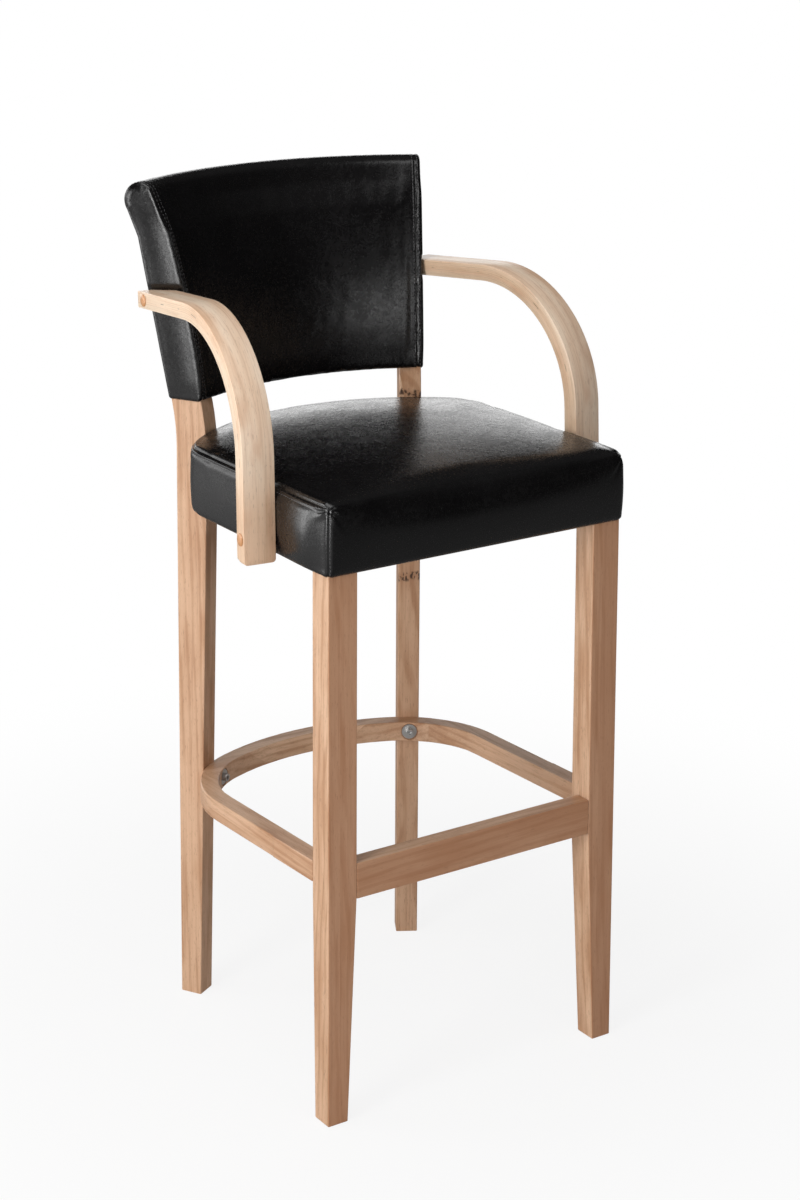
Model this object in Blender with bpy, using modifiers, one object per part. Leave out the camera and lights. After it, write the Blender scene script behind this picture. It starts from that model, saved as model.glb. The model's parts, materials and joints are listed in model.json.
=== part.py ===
"""A bar stool with a wooden frame, a padded seat and backrest, and bent plywood arms.

Lengths are in metres, angles in degrees. While the pieces are made, x runs to the right as seen
from the front, y to the back from the front face of the front legs, and z up from the floor. The
empty that carries them then brings the middle of the stool's outline over the origin.
"""

import math

import bmesh
import bpy
from mathutils import Matrix, Vector

# Shared fits and edges
CLEARANCE = 0.0003
OVERRUN = 0.004
WOOD_EDGE = 0.0012
ROUND_SIDES = 20
HOLE_SIDES = 12
HEXAGON_SIDES = 6
FACING_UP_SHARE = 0.5
FLAT_AREA = 1e-10

# Front legs
LEG_OUTER_X = 0.220
LEG_WIDTH = 0.0412
LEG_DEPTH = 0.036
LEG_FOOT_WIDTH = 0.0286
LEG_FOOT_DEPTH = 0.0306

# The curve that the footrest, the seat and the backrest follow, and the turn of the rear posts
BACK_AXIS_Y = 0.106
POST_ANGLE = 30.0

# Rear posts. A reach is a distance from the back axis, along the post's own depth
POST_WIDTH = 0.030
POST_FRONT_REACH = 0.316
POST_FOOT_KICK = 0.015
POST_DEPTH = 0.045
POST_BEND_RISE = 0.0035
POST_BEND_BLEND = 0.030
POST_LEAN_DEGREES = 12.0
POST_HEIGHT_IN_BACKREST = 0.221
POST_TOP_TAPER = 0.006
POST_BEND_STEPS = 4

# Front stretcher
STRETCHER_LOW_Z = 0.2886
STRETCHER_HEIGHT = 0.046
STRETCHER_DEPTH = 0.023

# Footrest ring
RING_HOUSING_DEPTH = 0.00048
RING_CORNER = 0.150
RING_THICKNESS = 0.024
RING_HEIGHT = 0.027
RING_FALL = 0.0085
RING_ARM_JOINT_Y = 0.132
RING_JOINT_PAST_POST_DEGREES = 12.0
RING_REAR_STEPS = 28
RING_BEND_STEPS = 9
FINGER_LENGTH = 0.009
FINGER_COUNT = 3
FINGER_GLUE = 0.0004

# Dowels
DOWEL_RADIUS = 0.004
DOWEL_LENGTH = 0.040
STRETCHER_DOWEL_SPACING = 0.022

# Bolts, washers and threaded inserts
BOLT_RADIUS = 0.003
BOLT_HEAD_RADIUS = 0.0052
BOLT_HEAD_HEIGHT = 0.006
BOLT_SOCKET_FLATS = 0.005
BOLT_SOCKET_DEPTH = 0.0035
BOLT_LENGTH = 0.050
LEG_BOLT_LENGTH = 0.064
WASHER_RADIUS = 0.0105
WASHER_THICKNESS = 0.0016
SPOT_FACE_DEPTH = 0.003
INSERT_RADIUS = 0.0055
INSERT_LENGTH = 0.016
INSERT_INSET = 0.002

# Seat frame
SEAT_WRAP = 0.0055
SEAT_HEM_Z = 0.7013
SEAT_RAIL_HEIGHT = 0.055
SEAT_RAIL_THICKNESS = 0.024
SEAT_FRONT_RAIL_THICKNESS = 0.022
SEAT_RAIL_TO_POST = 0.0075
SEAT_RAIL_CORNER = 0.055
SEAT_RAIL_JOINT_FORWARD = 0.0734
SEAT_RAIL_CORNER_STEPS = 6
SEAT_RAIL_ARC_STEPS = 20
SEAT_FRONT_CORNER = 0.0015
SEAT_BOARD_THICKNESS = 0.012
CORNER_BLOCK_REACH = 0.050
CORNER_BLOCK_BACK = 0.026
CORNER_BLOCK_HEIGHT = 0.026
CORNER_BLOCK_RISE = 0.006

# Seat cushion
SEAT_COVER_THICKNESS = 0.0046
SEAT_LIP_WIDTH = 0.018
SEAT_SIDE_BULGE = 0.0018
SEAT_PAD_EDGE_HEIGHT = 0.0193
SEAT_CROWN = 0.0125
SEAT_TOP_ROUNDING = 0.013
SEAT_HEM_ROUNDING = 0.0015
DUST_COVER_THICKNESS = 0.001
SMALLEST_CORNER = 0.0010
FRONT_EDGE_SHARES = (0.0, 0.34, 0.67)
SIDE_EDGE_SHARES = (0.25, 0.5, 0.75)
SIDE_HEIGHT_SHARES = (0.0, 0.35, 0.7, 1.0)
CROWN_SHARES = (0.86, 0.68, 0.46, 0.22)
FRONT_CORNER_STEPS = 2
REAR_CORNER_STEPS = 5
REAR_ARC_STEPS = 7
ROUNDING_STEPS = 3

# Backrest, from its hem above the seat to the scroll over the tops of the posts
BACK_HEM_RISE = 0.0365
BACK_FOOT_BEHIND_POST = 0.0045
BACK_TOP_BEHIND_POST = 0.052
BACK_FRONT_TOP_RISE = 0.001
BACK_FRONT_CURVE_POWER = 1.4
BACK_CROWN = 0.019
BACK_CROWN_POWER = 2.4
BACK_CROWN_SHARES = (0.6, 0.88, 1.0, 0.97, 0.86, 0.7, 0.5, 0.36)
BACK_COVER_THICKNESS = 0.002
BACK_REAR_SLACK = 0.0012
BACK_EDGE_ROUNDING = 0.006
BACK_EDGE_INSETS = ((0.0, 1.0), (0.003, 0.22), (0.008, 0.0))
BACK_TURNS = (22.0, 15.0, 7.5)
SCROLL_BEHIND_POST = 0.096
SCROLL_RISE = 0.0395
SCROLL_RADIUS = 0.0245
SCROLL_FRONT_DEGREES = 135.0
SCROLL_REAR_DEGREES = -35.0
SCROLL_STEPS = 8
BACK_REAR_STEPS = 3
BACK_RAIL_HEIGHT = 0.050
BACK_PANEL_THICKNESS = 0.006
REAR_PANEL_THICKNESS = 0.004
LEAST_FOAM = 0.0005

# Arms
ARM_INNER_X = 0.2305
ARM_FRONT_Y = 0.101
ARM_WIDTH = 0.042
ARM_THICKNESS = 0.0215
ARM_MITRE_DEPTH = 0.01293
ARM_FOOT_DROP = 0.0043
ARM_BEND_RADIUS = 0.170
ARM_BEND_SET_BACK = 0.004
ARM_BEND_RISE = 0.0245
ARM_UPRIGHT_LEAN = 1.9
ARM_TOP_FALL = 5.2
ARM_REAR_SHORTFALL = 0.0226
ARM_END_ROUNDING = 0.006
ARM_BEND_STEPS = 16
ARM_SCREW_RADIUS = 0.0025
ARM_SCREW_HEAD_RADIUS = 0.0045
ARM_SCREW_HEAD_HEIGHT = 0.003
ARM_SCREW_SEAT_DEPTH = 0.009
ARM_FRONT_SCREW_LENGTH = 0.058
ARM_REAR_SCREW_LENGTH = 0.041
ARM_FRONT_SCREW_RISE = 0.0305
ARM_REAR_SCREW_FROM_END = 0.020
PLUG_RADIUS = 0.0082
PLUG_DOME = 0.0026
PLUG_STEM_RADIUS = 0.0055
PLUG_STEM_LENGTH = 0.0045
PLUG_DOME_STEPS = 4
END_STEPS = 3

# Shading and bevels
SHARP_DEGREES = 35.0
BEVEL_DEGREES = 50.0

# Values worked out from the sizes above
POST_FOOT_REACH = POST_FRONT_REACH + POST_FOOT_KICK
SEAT_RAIL_RADIUS = POST_FRONT_REACH - SEAT_RAIL_TO_POST
RAIL_LOW_Z = SEAT_HEM_Z + SEAT_COVER_THICKNESS + CLEARANCE
RAIL_TOP_Z = RAIL_LOW_Z + SEAT_RAIL_HEIGHT
SEAT_EDGE_Z = RAIL_TOP_Z + SEAT_BOARD_THICKNESS + SEAT_PAD_EDGE_HEIGHT
POST_BEND_Z = SEAT_EDGE_Z + POST_BEND_RISE
BACK_HEM_Z = SEAT_EDGE_Z + BACK_HEM_RISE
POST_TOP_Z = BACK_HEM_Z + POST_HEIGHT_IN_BACKREST
BACK_FOOT_REACH = POST_FRONT_REACH + BACK_FOOT_BEHIND_POST
BACK_TOP_REACH = POST_FRONT_REACH + BACK_TOP_BEHIND_POST
BACK_FRONT_TOP_Z = POST_TOP_Z + BACK_FRONT_TOP_RISE
SCROLL_REACH = POST_FRONT_REACH + SCROLL_BEHIND_POST
SCROLL_Z = POST_TOP_Z + SCROLL_RISE
BACK_REAR_TOP_Z = SCROLL_Z - 2 * SCROLL_RADIUS
ARM_LOW_Z = SEAT_HEM_Z - ARM_FOOT_DROP
ARM_BEND_Y = ARM_FRONT_Y + ARM_BEND_SET_BACK + ARM_BEND_RADIUS
ARM_BEND_Z = SEAT_EDGE_Z + ARM_BEND_RISE
ARM_FRONT_SCREW_Z = ARM_LOW_Z + ARM_FRONT_SCREW_RISE
LEG_INNER_X = LEG_OUTER_X - LEG_WIDTH
CORNER_BLOCK_LOW_Z = RAIL_LOW_Z + CORNER_BLOCK_RISE
STRETCHER_TOP_Z = STRETCHER_LOW_Z + STRETCHER_HEIGHT
POST_SLOPE = math.tan(math.radians(POST_LEAN_DEGREES))
POST_HALF = POST_WIDTH / 2
SCROLL_REAR_REACH = SCROLL_REACH + SCROLL_RADIUS
FRONT_MOST_Y = -SEAT_WRAP - SEAT_SIDE_BULGE
REAR_MOST_Y = BACK_AXIS_Y + SCROLL_REAR_REACH
ORIGIN_Y = (FRONT_MOST_Y + REAR_MOST_Y) / 2
RING_BOLT_Z = STRETCHER_TOP_Z - RING_HEIGHT / 2 - RING_FALL
SEAT_BOLT_Z = RAIL_LOW_Z + SEAT_RAIL_HEIGHT / 2
SIDES = ((1, "right"), (-1, "left"))


def clear_scene():
    for obj in list(bpy.data.objects):
        bpy.data.objects.remove(obj, do_unlink=True)


def new_collection(name):
    collection = bpy.data.collections.new(name)
    bpy.context.scene.collection.children.link(collection)
    return collection


def new_material(name, colour, roughness, metallic=0.0):
    material = bpy.data.materials.new(name)
    material.use_nodes = True
    shader = material.node_tree.nodes["Principled BSDF"]
    shader.inputs["Base Color"].default_value = (*colour, 1.0)
    shader.inputs["Roughness"].default_value = roughness
    shader.inputs["Metallic"].default_value = metallic
    material.diffuse_color = (*colour, 1.0)
    return material


def add_piece(name, mesh, material, smooth=False):
    """A piece of the stool, as an object under the stool's empty."""
    mesh.name = name
    mesh.materials.clear()
    mesh.materials.append(material)
    if smooth:
        mesh.shade_smooth()
        mesh.set_sharp_from_angle(angle=math.radians(SHARP_DEGREES))
    obj = bpy.data.objects.new(name, mesh)
    pieces.objects.link(obj)
    obj.parent = stool
    return obj


def cut(obj, mesh, label):
    """Takes the mesh away from the piece."""
    cutter = bpy.data.objects.new(obj.name + "_" + label, mesh)
    cutters.objects.link(cutter)
    cutter.parent = stool
    cutter.hide_render = True
    cutter.display_type = "WIRE"
    modifier = obj.modifiers.new(label, "BOOLEAN")
    modifier.operation = "DIFFERENCE"
    modifier.object = cutter


def round_edges(obj, width, segments=1):
    modifier = obj.modifiers.new("rounded_edges", "BEVEL")
    modifier.width = width
    modifier.segments = segments
    modifier.limit_method = "ANGLE"
    modifier.angle_limit = math.radians(BEVEL_DEGREES)
    modifier.harden_normals = False


def mesh_from(bm):
    bmesh.ops.recalc_face_normals(bm, faces=bm.faces)
    mesh = bpy.data.meshes.new("shape")
    bm.to_mesh(mesh)
    bm.free()
    return mesh


def moved(mesh, matrix):
    """The mesh in another place, with its faces pointing out also where the matrix mirrors it."""
    bm = bmesh.new()
    bm.from_mesh(mesh)
    bmesh.ops.transform(bm, matrix=matrix, verts=bm.verts)
    return mesh_from(bm)


def on_side(mesh, side):
    """A mesh made for the right side, mirrored where it belongs to the left."""
    return mesh if side > 0 else moved(mesh, Matrix.Scale(-1, 4, (1, 0, 0)))


def box(low, high):
    low, high = Vector(low), Vector(high)
    bm = bmesh.new()
    bmesh.ops.create_cube(bm, size=1)
    bmesh.ops.scale(bm, vec=high - low, verts=bm.verts)
    bmesh.ops.translate(bm, vec=(low + high) / 2, verts=bm.verts)
    return mesh_from(bm)


def cylinder(radius, start, end, sides=ROUND_SIDES):
    """A round bar between two points."""
    start, end = Vector(start), Vector(end)
    turn = (end - start).to_track_quat("Z", "Y").to_matrix().to_4x4()
    bm = bmesh.new()
    bmesh.ops.create_cone(
        bm, cap_ends=True, segments=sides, radius1=radius, radius2=radius, depth=(end - start).length
    )
    bmesh.ops.transform(bm, matrix=Matrix.Translation((start + end) / 2) @ turn, verts=bm.verts)
    return mesh_from(bm)


def corners_of(outline):
    """The points where the outline turns, without those that only lie on a straight stretch."""
    kept = []
    for i, point in enumerate(outline):
        before, here, after = Vector(outline[i - 1]), Vector(point), Vector(outline[(i + 1) % len(outline)])
        if abs((here - before).cross(after - here)) > FLAT_AREA:
            kept.append(point)
    return kept


def prism(outline, low, high, matrix=None):
    """A flat outline, filled and drawn up from low to high."""
    outline = corners_of(outline)
    curve = bpy.data.curves.new("outline", "CURVE")
    curve.dimensions = "2D"
    curve.fill_mode = "BOTH"
    curve.extrude = (high - low) / 2
    spline = curve.splines.new("POLY")
    spline.points.add(len(outline) - len(spline.points))
    spline.use_cyclic_u = True
    for point, (x, y) in zip(spline.points, outline):
        point.co = (x, y, 0, 1)
    obj = bpy.data.objects.new("outline", curve)
    pieces.objects.link(obj)
    graph = bpy.context.evaluated_depsgraph_get()
    flat = bpy.data.meshes.new_from_object(obj.evaluated_get(graph))
    bpy.data.objects.remove(obj, do_unlink=True)
    bpy.data.curves.remove(curve)
    bm = bmesh.new()
    bm.from_mesh(flat)
    bmesh.ops.remove_doubles(bm, verts=bm.verts, dist=CLEARANCE / 10)
    place = Matrix.Translation((0, 0, (low + high) / 2))
    bmesh.ops.transform(bm, matrix=(matrix or Matrix()) @ place, verts=bm.verts)
    return mesh_from(bm)


def loft(rings):
    """Faces between rings of as many points each, closed at both ends."""
    bm = bmesh.new()
    rows = [[bm.verts.new(point) for point in ring] for ring in rings]
    for row, following in zip(rows, rows[1:]):
        for i, vert in enumerate(row):
            after = (i + 1) % len(row)
            bm.faces.new((vert, row[after], following[after]))
            bm.faces.new((vert, following[after], following[i]))
    bm.faces.new(rows[0])
    bm.faces.new(rows[-1])
    return mesh_from(bm)


def turned(profile, matrix):
    """A round piece from its profile of (radius, height) points, from the top down, by a Screw."""
    bm = bmesh.new()
    verts = [bm.verts.new((radius, 0, height)) for radius, height in profile]
    for pair in zip(verts, verts[1:]):
        bm.edges.new(pair)
    mesh = bpy.data.meshes.new("profile")
    bm.to_mesh(mesh)
    bm.free()
    obj = bpy.data.objects.new("profile", mesh)
    pieces.objects.link(obj)
    screw = obj.modifiers.new("turned", "SCREW")
    screw.steps = screw.render_steps = ROUND_SIDES
    screw.use_merge_vertices = True
    screw.merge_threshold = CLEARANCE / 10
    graph = bpy.context.evaluated_depsgraph_get()
    solid = bpy.data.meshes.new_from_object(obj.evaluated_get(graph))
    bpy.data.objects.remove(obj, do_unlink=True)
    return moved(solid, matrix)


def facing(point, direction):
    """The frame of a turned piece whose foot is at the point and whose top looks along the direction."""
    turn = Vector(direction).to_track_quat("Z", "Y").to_matrix().to_4x4()
    return Matrix.Translation(point) @ turn


def arc(centre, radius, start, end, steps):
    """Points on a circle from one angle to another, both in degrees from the first axis."""
    angles = [math.radians(start + (end - start) * i / steps) for i in range(steps + 1)]
    return [(centre[0] + radius * math.cos(a), centre[1] + radius * math.sin(a)) for a in angles]


class Hoop:
    """The plan of a ring that is straight along the sides and round at the back.

    Each station is a point of the outer line with the direction that points out of it, so that a
    line further in is the same stations drawn in by a distance.
    """

    def __init__(self, half_width, radius, corner):
        self.half_width, self.radius, self.corner = half_width, radius, corner
        self.corner_x = half_width - corner
        reach = radius - corner
        self.corner_y = BACK_AXIS_Y + math.sqrt(reach**2 - self.corner_x**2)
        self.corner_end = math.degrees(math.asin(self.corner_x / reach))

    def side(self, y, hand=1):
        return (hand * self.half_width, y), (hand, 0)

    def back(self, angle):
        """The station whose outward direction is turned this far from straight back."""
        hand = math.copysign(1, angle)
        turn = math.radians(abs(angle))
        out = (hand * math.sin(turn), math.cos(turn))
        if abs(angle) < self.corner_end:
            return (self.radius * out[0], BACK_AXIS_Y + self.radius * out[1]), out
        centre = (hand * self.corner_x, self.corner_y)
        return (centre[0] + self.corner * out[0], centre[1] + self.corner * out[1]), out

    def sweep(self, start, end, steps):
        """Stations round the back, evenly turned."""
        return [self.back(start + (end - start) * i / steps) for i in range(steps + 1)]


def drawn_in(stations, inset):
    return [(p[0] - n[0] * inset, p[1] - n[1] * inset) for p, n in stations]


def beyond_fingers(station, keep_before):
    """What lies beyond the zigzag of a glued joint across the ring, half a glue line away from it.

    Kept before the joint, the piece loses what comes after it going round to the back.
    """
    (x, y), (nx, ny) = station
    hand = 1 if keep_before else -1
    insets = [RING_THICKNESS * i / (2 * FINGER_COUNT) for i in range(2 * FINGER_COUNT + 1)]
    teeth = [FINGER_LENGTH / 2 * (1 if i % 2 else -1) - hand * FINGER_GLUE / 2 for i in range(len(insets))]
    far = hand * (FINGER_LENGTH + OVERRUN)
    line = [(-OVERRUN, far), (-OVERRUN, teeth[0])]
    line += list(zip(insets, teeth))
    line += [(RING_THICKNESS + OVERRUN, teeth[-1]), (RING_THICKNESS + OVERRUN, far)]
    outline = [(x - nx * inset - ny * reach, y - ny * inset + nx * reach) for inset, reach in line]
    return prism(outline, STRETCHER_LOW_Z, STRETCHER_TOP_Z + OVERRUN)


def post_frame():
    """Takes (n, z, u) to its place: n back from the axis, u across the right post, outwards."""
    turn = math.radians(POST_ANGLE)
    return Matrix(
        (
            (math.sin(turn), 0, math.cos(turn), 0),
            (math.cos(turn), 0, -math.sin(turn), BACK_AXIS_Y),
            (0, 1, 0, 0),
            (0, 0, 0, 1),
        )
    )


def at_post(n, z, u=0.0):
    return post_frame() @ Vector((n, z, u))


def straight_back():
    """The direction of the right post's depth, away from the back axis."""
    return Vector((math.sin(math.radians(POST_ANGLE)), math.cos(math.radians(POST_ANGLE)), 0))


def lean(z):
    """How far the posts have come back at this height, with a smooth bend where they start to."""
    over = z - POST_BEND_Z
    if over <= -POST_BEND_BLEND:
        return 0.0
    if over >= POST_BEND_BLEND:
        return POST_SLOPE * over
    return POST_SLOPE * (over + POST_BEND_BLEND) ** 2 / (4 * POST_BEND_BLEND)


def post_front_reach(z):
    if z < SEAT_HEM_Z:
        return POST_FOOT_REACH + (POST_FRONT_REACH - POST_FOOT_REACH) * z / SEAT_HEM_Z
    bend_top = POST_BEND_Z + POST_BEND_BLEND
    return POST_FRONT_REACH + lean(z) + POST_TOP_TAPER * max(0, z - bend_top) / (POST_TOP_Z - bend_top)


def post_rear_reach(z):
    return POST_FRONT_REACH + POST_DEPTH + lean(z)


def ring_low_z(y):
    """The footrest falls evenly from the front legs to the back."""
    return STRETCHER_TOP_Z - RING_HEIGHT - RING_FALL * (y - LEG_DEPTH) / (RING_BOLT_Y - LEG_DEPTH)


def fallen(mesh):
    """A footrest piece made level, moved down to the slope of the footrest."""
    shear = Matrix()
    shear[2][1] = -RING_FALL / (RING_BOLT_Y - LEG_DEPTH)
    shear[2][3] = -shear[2][1] * LEG_DEPTH
    return moved(mesh, shear)


def ring_at_post():
    """Where the outer line of the footrest meets the front of the right post, from the back axis."""
    return straight_back() * (post_front_reach(RING_BOLT_Z) + RING_HOUSING_DEPTH)


def ring_radius():
    """The radius of the footrest's rear arc, so that its corners meet the fronts of the posts."""
    corner_x = LEG_OUTER_X - RING_CORNER
    aside = ring_at_post().x - corner_x
    corner_back = ring_at_post().y - math.sqrt(RING_CORNER**2 - aside**2)
    return RING_CORNER + math.hypot(corner_x, corner_back)


def ring_joint_degrees():
    """The turn at which the rear arc of the footrest ends, a little beyond the post."""
    aside = ring_at_post().x - LEG_OUTER_X + RING_CORNER
    return math.degrees(math.asin(aside / RING_CORNER)) + RING_JOINT_PAST_POST_DEGREES


def arm_toe_in():
    """How far the arms turn inwards, so that their inner faces run into the sides of the posts."""
    z = ARM_BEND_Z + ARM_BEND_RADIUS - ARM_THICKNESS
    middle = (post_front_reach(z) + post_rear_reach(z)) / 2
    meeting = at_post(middle, z, POST_HALF - ARM_MITRE_DEPTH)
    return math.atan2(ARM_INNER_X - meeting.x, meeting.y - ARM_FRONT_Y)


RING_RADIUS = ring_radius()
RING_BOLT_Y = BACK_AXIS_Y + (RING_RADIUS - RING_THICKNESS) * math.cos(math.radians(POST_ANGLE))
RING = Hoop(LEG_OUTER_X, RING_RADIUS, RING_CORNER)
SEAT = Hoop(LEG_OUTER_X, SEAT_RAIL_RADIUS, SEAT_RAIL_CORNER)
SEAT_RAIL_JOINT_Y = SEAT.corner_y - SEAT_RAIL_JOINT_FORWARD
ARM_TOE_IN = arm_toe_in()
RING_BOLT_SEAT_REACH = post_front_reach(RING_BOLT_Z) - RING_THICKNESS + SPOT_FACE_DEPTH
ARM_REAR_Y = BACK_AXIS_Y + POST_FRONT_REACH + lean(ARM_BEND_Z + ARM_BEND_RADIUS) - ARM_REAR_SHORTFALL

clear_scene()
pieces = new_collection("bar_stool_with_arms")
cutters = new_collection("cutters")
stool = bpy.data.objects.new("bar_stool", None)
pieces.objects.link(stool)
stool.location = (0, -ORIGIN_Y, 0)

rubberwood = new_material("rubberwood", (0.60, 0.37, 0.22), 0.42)
hidden_wood = new_material("hidden_wood", (0.62, 0.45, 0.28), 0.6)
bent_plywood = new_material("bent_plywood", (0.78, 0.60, 0.40), 0.4)
board = new_material("plywood_board", (0.66, 0.50, 0.33), 0.6)
dowel_wood = new_material("dowel_beech", (0.70, 0.50, 0.32), 0.55)
plug_wood = new_material("plug_wood", (0.62, 0.29, 0.11), 0.38)
zinc = new_material("zinc_plate", (0.72, 0.74, 0.76), 0.3, 1.0)
black_cover = new_material("black_faux_leather", (0.012, 0.012, 0.013), 0.33)
foam = new_material("foam", (0.85, 0.80, 0.62), 0.95)
dust_cloth = new_material("dust_cloth", (0.02, 0.02, 0.02), 0.95)


def socket_screw(name, seat, direction, side, length=BOLT_LENGTH):
    """A socket head bolt. Seat is the underside of its head, and it goes in along the direction."""
    profile = (
        (0, BOLT_HEAD_HEIGHT),
        (BOLT_HEAD_RADIUS, BOLT_HEAD_HEIGHT),
        (BOLT_HEAD_RADIUS, 0),
        (BOLT_RADIUS, 0),
        (BOLT_RADIUS, -length),
        (0, -length),
    )
    frame = facing(seat, -Vector(direction))
    bolt = add_piece(name, on_side(turned(profile, frame), side), zinc, smooth=True)
    top = frame @ Vector((0, 0, BOLT_HEAD_HEIGHT + OVERRUN))
    floor = frame @ Vector((0, 0, BOLT_HEAD_HEIGHT - BOLT_SOCKET_DEPTH))
    across = BOLT_SOCKET_FLATS / math.sqrt(3)
    cut(bolt, on_side(cylinder(across, floor, top, sides=HEXAGON_SIDES), side), "socket")
    return bolt


def ring_piece(name, stations, side):
    """A piece of the footrest, running a little past its joints, where it is then cut."""
    outline = drawn_in(stations, 0) + drawn_in(stations[::-1], RING_THICKNESS)
    mesh = fallen(prism(outline, STRETCHER_TOP_Z - RING_HEIGHT, STRETCHER_TOP_Z))
    piece = add_piece(name, on_side(mesh, side), rubberwood)
    round_edges(piece, WOOD_EDGE)
    return piece


def make_front_legs():
    for side, word in SIDES:
        bm = bmesh.new()
        low_corner = Vector((LEG_INNER_X, 0, 0))
        size = Vector((LEG_WIDTH, LEG_DEPTH, STRETCHER_LOW_Z))
        bmesh.ops.create_cube(bm, size=1)
        bmesh.ops.scale(bm, vec=size, verts=bm.verts)
        bmesh.ops.translate(bm, vec=low_corner + size / 2, verts=bm.verts)
        upper = [face for face in bm.faces if face.normal.z > FACING_UP_SHARE]
        raised = bmesh.ops.extrude_face_region(bm, geom=upper)["geom"]
        raised = [item for item in raised if isinstance(item, bmesh.types.BMVert)]
        bmesh.ops.translate(bm, vec=(0, 0, RAIL_TOP_Z - STRETCHER_LOW_Z), verts=raised)
        bmesh.ops.delete(bm, geom=upper, context="FACES_ONLY")
        for vert in bm.verts:
            if vert.co.z < CLEARANCE:
                if vert.co.x < LEG_INNER_X + CLEARANCE:
                    vert.co.x = LEG_OUTER_X - LEG_FOOT_WIDTH
                if vert.co.y > LEG_DEPTH - CLEARANCE:
                    vert.co.y = LEG_FOOT_DEPTH
        leg = add_piece("front_leg_" + word, on_side(mesh_from(bm), side), rubberwood)
        round_edges(leg, WOOD_EDGE, 2)
        for z, level in stretcher_dowel_heights():
            start = (LEG_INNER_X - OVERRUN, STRETCHER_DEPTH / 2, z)
            end = (LEG_INNER_X + DOWEL_LENGTH / 2, STRETCHER_DEPTH / 2, z)
            hole = cylinder(DOWEL_RADIUS + CLEARANCE, start, end)
            cut(leg, on_side(hole, side), level + "_stretcher_hole")
        start, end = ring_dowel_ends()
        hole = cylinder(DOWEL_RADIUS + CLEARANCE, start - Vector((0, CLEARANCE, 0)), end)
        cut(leg, on_side(hole, side), "footrest_hole")
        cut(leg, on_side(leg_bolt_hole(), side), "leg_bolt_hole")


def stretcher_dowel_heights():
    middle = STRETCHER_LOW_Z + STRETCHER_HEIGHT / 2
    half = STRETCHER_DOWEL_SPACING / 2
    return (middle - half, "lower"), (middle + half, "upper")


def ring_dowel_ends():
    """The dowel from the back of a front leg into the end of a footrest arm."""
    x = LEG_OUTER_X - RING_THICKNESS / 2
    z = ring_low_z(LEG_DEPTH) + RING_HEIGHT / 2
    reach = DOWEL_LENGTH / 2
    return Vector((x, LEG_DEPTH - reach, z)), Vector((x, LEG_DEPTH + reach, z))


def leg_bolt_line():
    """Where the bolt through the corner block sits, and its direction into the leg's inner corner."""
    inwards = Vector((1, -1, 0)).normalized()
    corner = Vector((LEG_INNER_X, LEG_DEPTH, CORNER_BLOCK_LOW_Z + CORNER_BLOCK_HEIGHT / 2))
    face = Vector((*corner_block_outline()[-1], corner.z))
    depth = (corner - face).dot(inwards)
    return corner - inwards * (depth + CLEARANCE), inwards


def leg_bolt_hole():
    seat, inwards = leg_bolt_line()
    end = seat + inwards * (LEG_BOLT_LENGTH + OVERRUN)
    return cylinder(BOLT_RADIUS + CLEARANCE, seat - inwards * OVERRUN, end)


def corner_block_outline():
    """The block in the front corner of the seat frame, seen from above."""
    rail_y = SEAT_FRONT_RAIL_THICKNESS + CLEARANCE
    leg_x = LEG_INNER_X - CLEARANCE
    leg_y = LEG_DEPTH + CLEARANCE
    side_x = LEG_OUTER_X - SEAT_RAIL_THICKNESS - CLEARANCE
    back_y = leg_y + CORNER_BLOCK_REACH
    start_x = leg_x - CORNER_BLOCK_REACH
    return (
        (start_x, rail_y),
        (leg_x, rail_y),
        (leg_x, leg_y),
        (side_x, leg_y),
        (side_x, back_y),
        (side_x - CORNER_BLOCK_BACK, back_y),
        (start_x, back_y - (side_x - CORNER_BLOCK_BACK - start_x)),
    )


def make_stretcher():
    reach = LEG_INNER_X - CLEARANCE
    mesh = box((-reach, 0, STRETCHER_LOW_Z), (reach, STRETCHER_DEPTH, STRETCHER_TOP_Z))
    stretcher = add_piece("front_stretcher", mesh, rubberwood)
    round_edges(stretcher, WOOD_EDGE, 2)
    for side, word in SIDES:
        for z, level in stretcher_dowel_heights():
            middle = Vector((LEG_INNER_X, STRETCHER_DEPTH / 2, z))
            half = Vector((DOWEL_LENGTH / 2, 0, 0))
            hole = cylinder(DOWEL_RADIUS + CLEARANCE, middle - half, middle + half)
            cut(stretcher, on_side(hole, side), word + "_" + level + "_hole")
            half.x -= CLEARANCE
            dowel = cylinder(DOWEL_RADIUS, middle - half, middle + half)
            name = "stretcher_dowel_" + word + "_" + level
            add_piece(name, on_side(dowel, side), dowel_wood, smooth=True)


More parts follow.
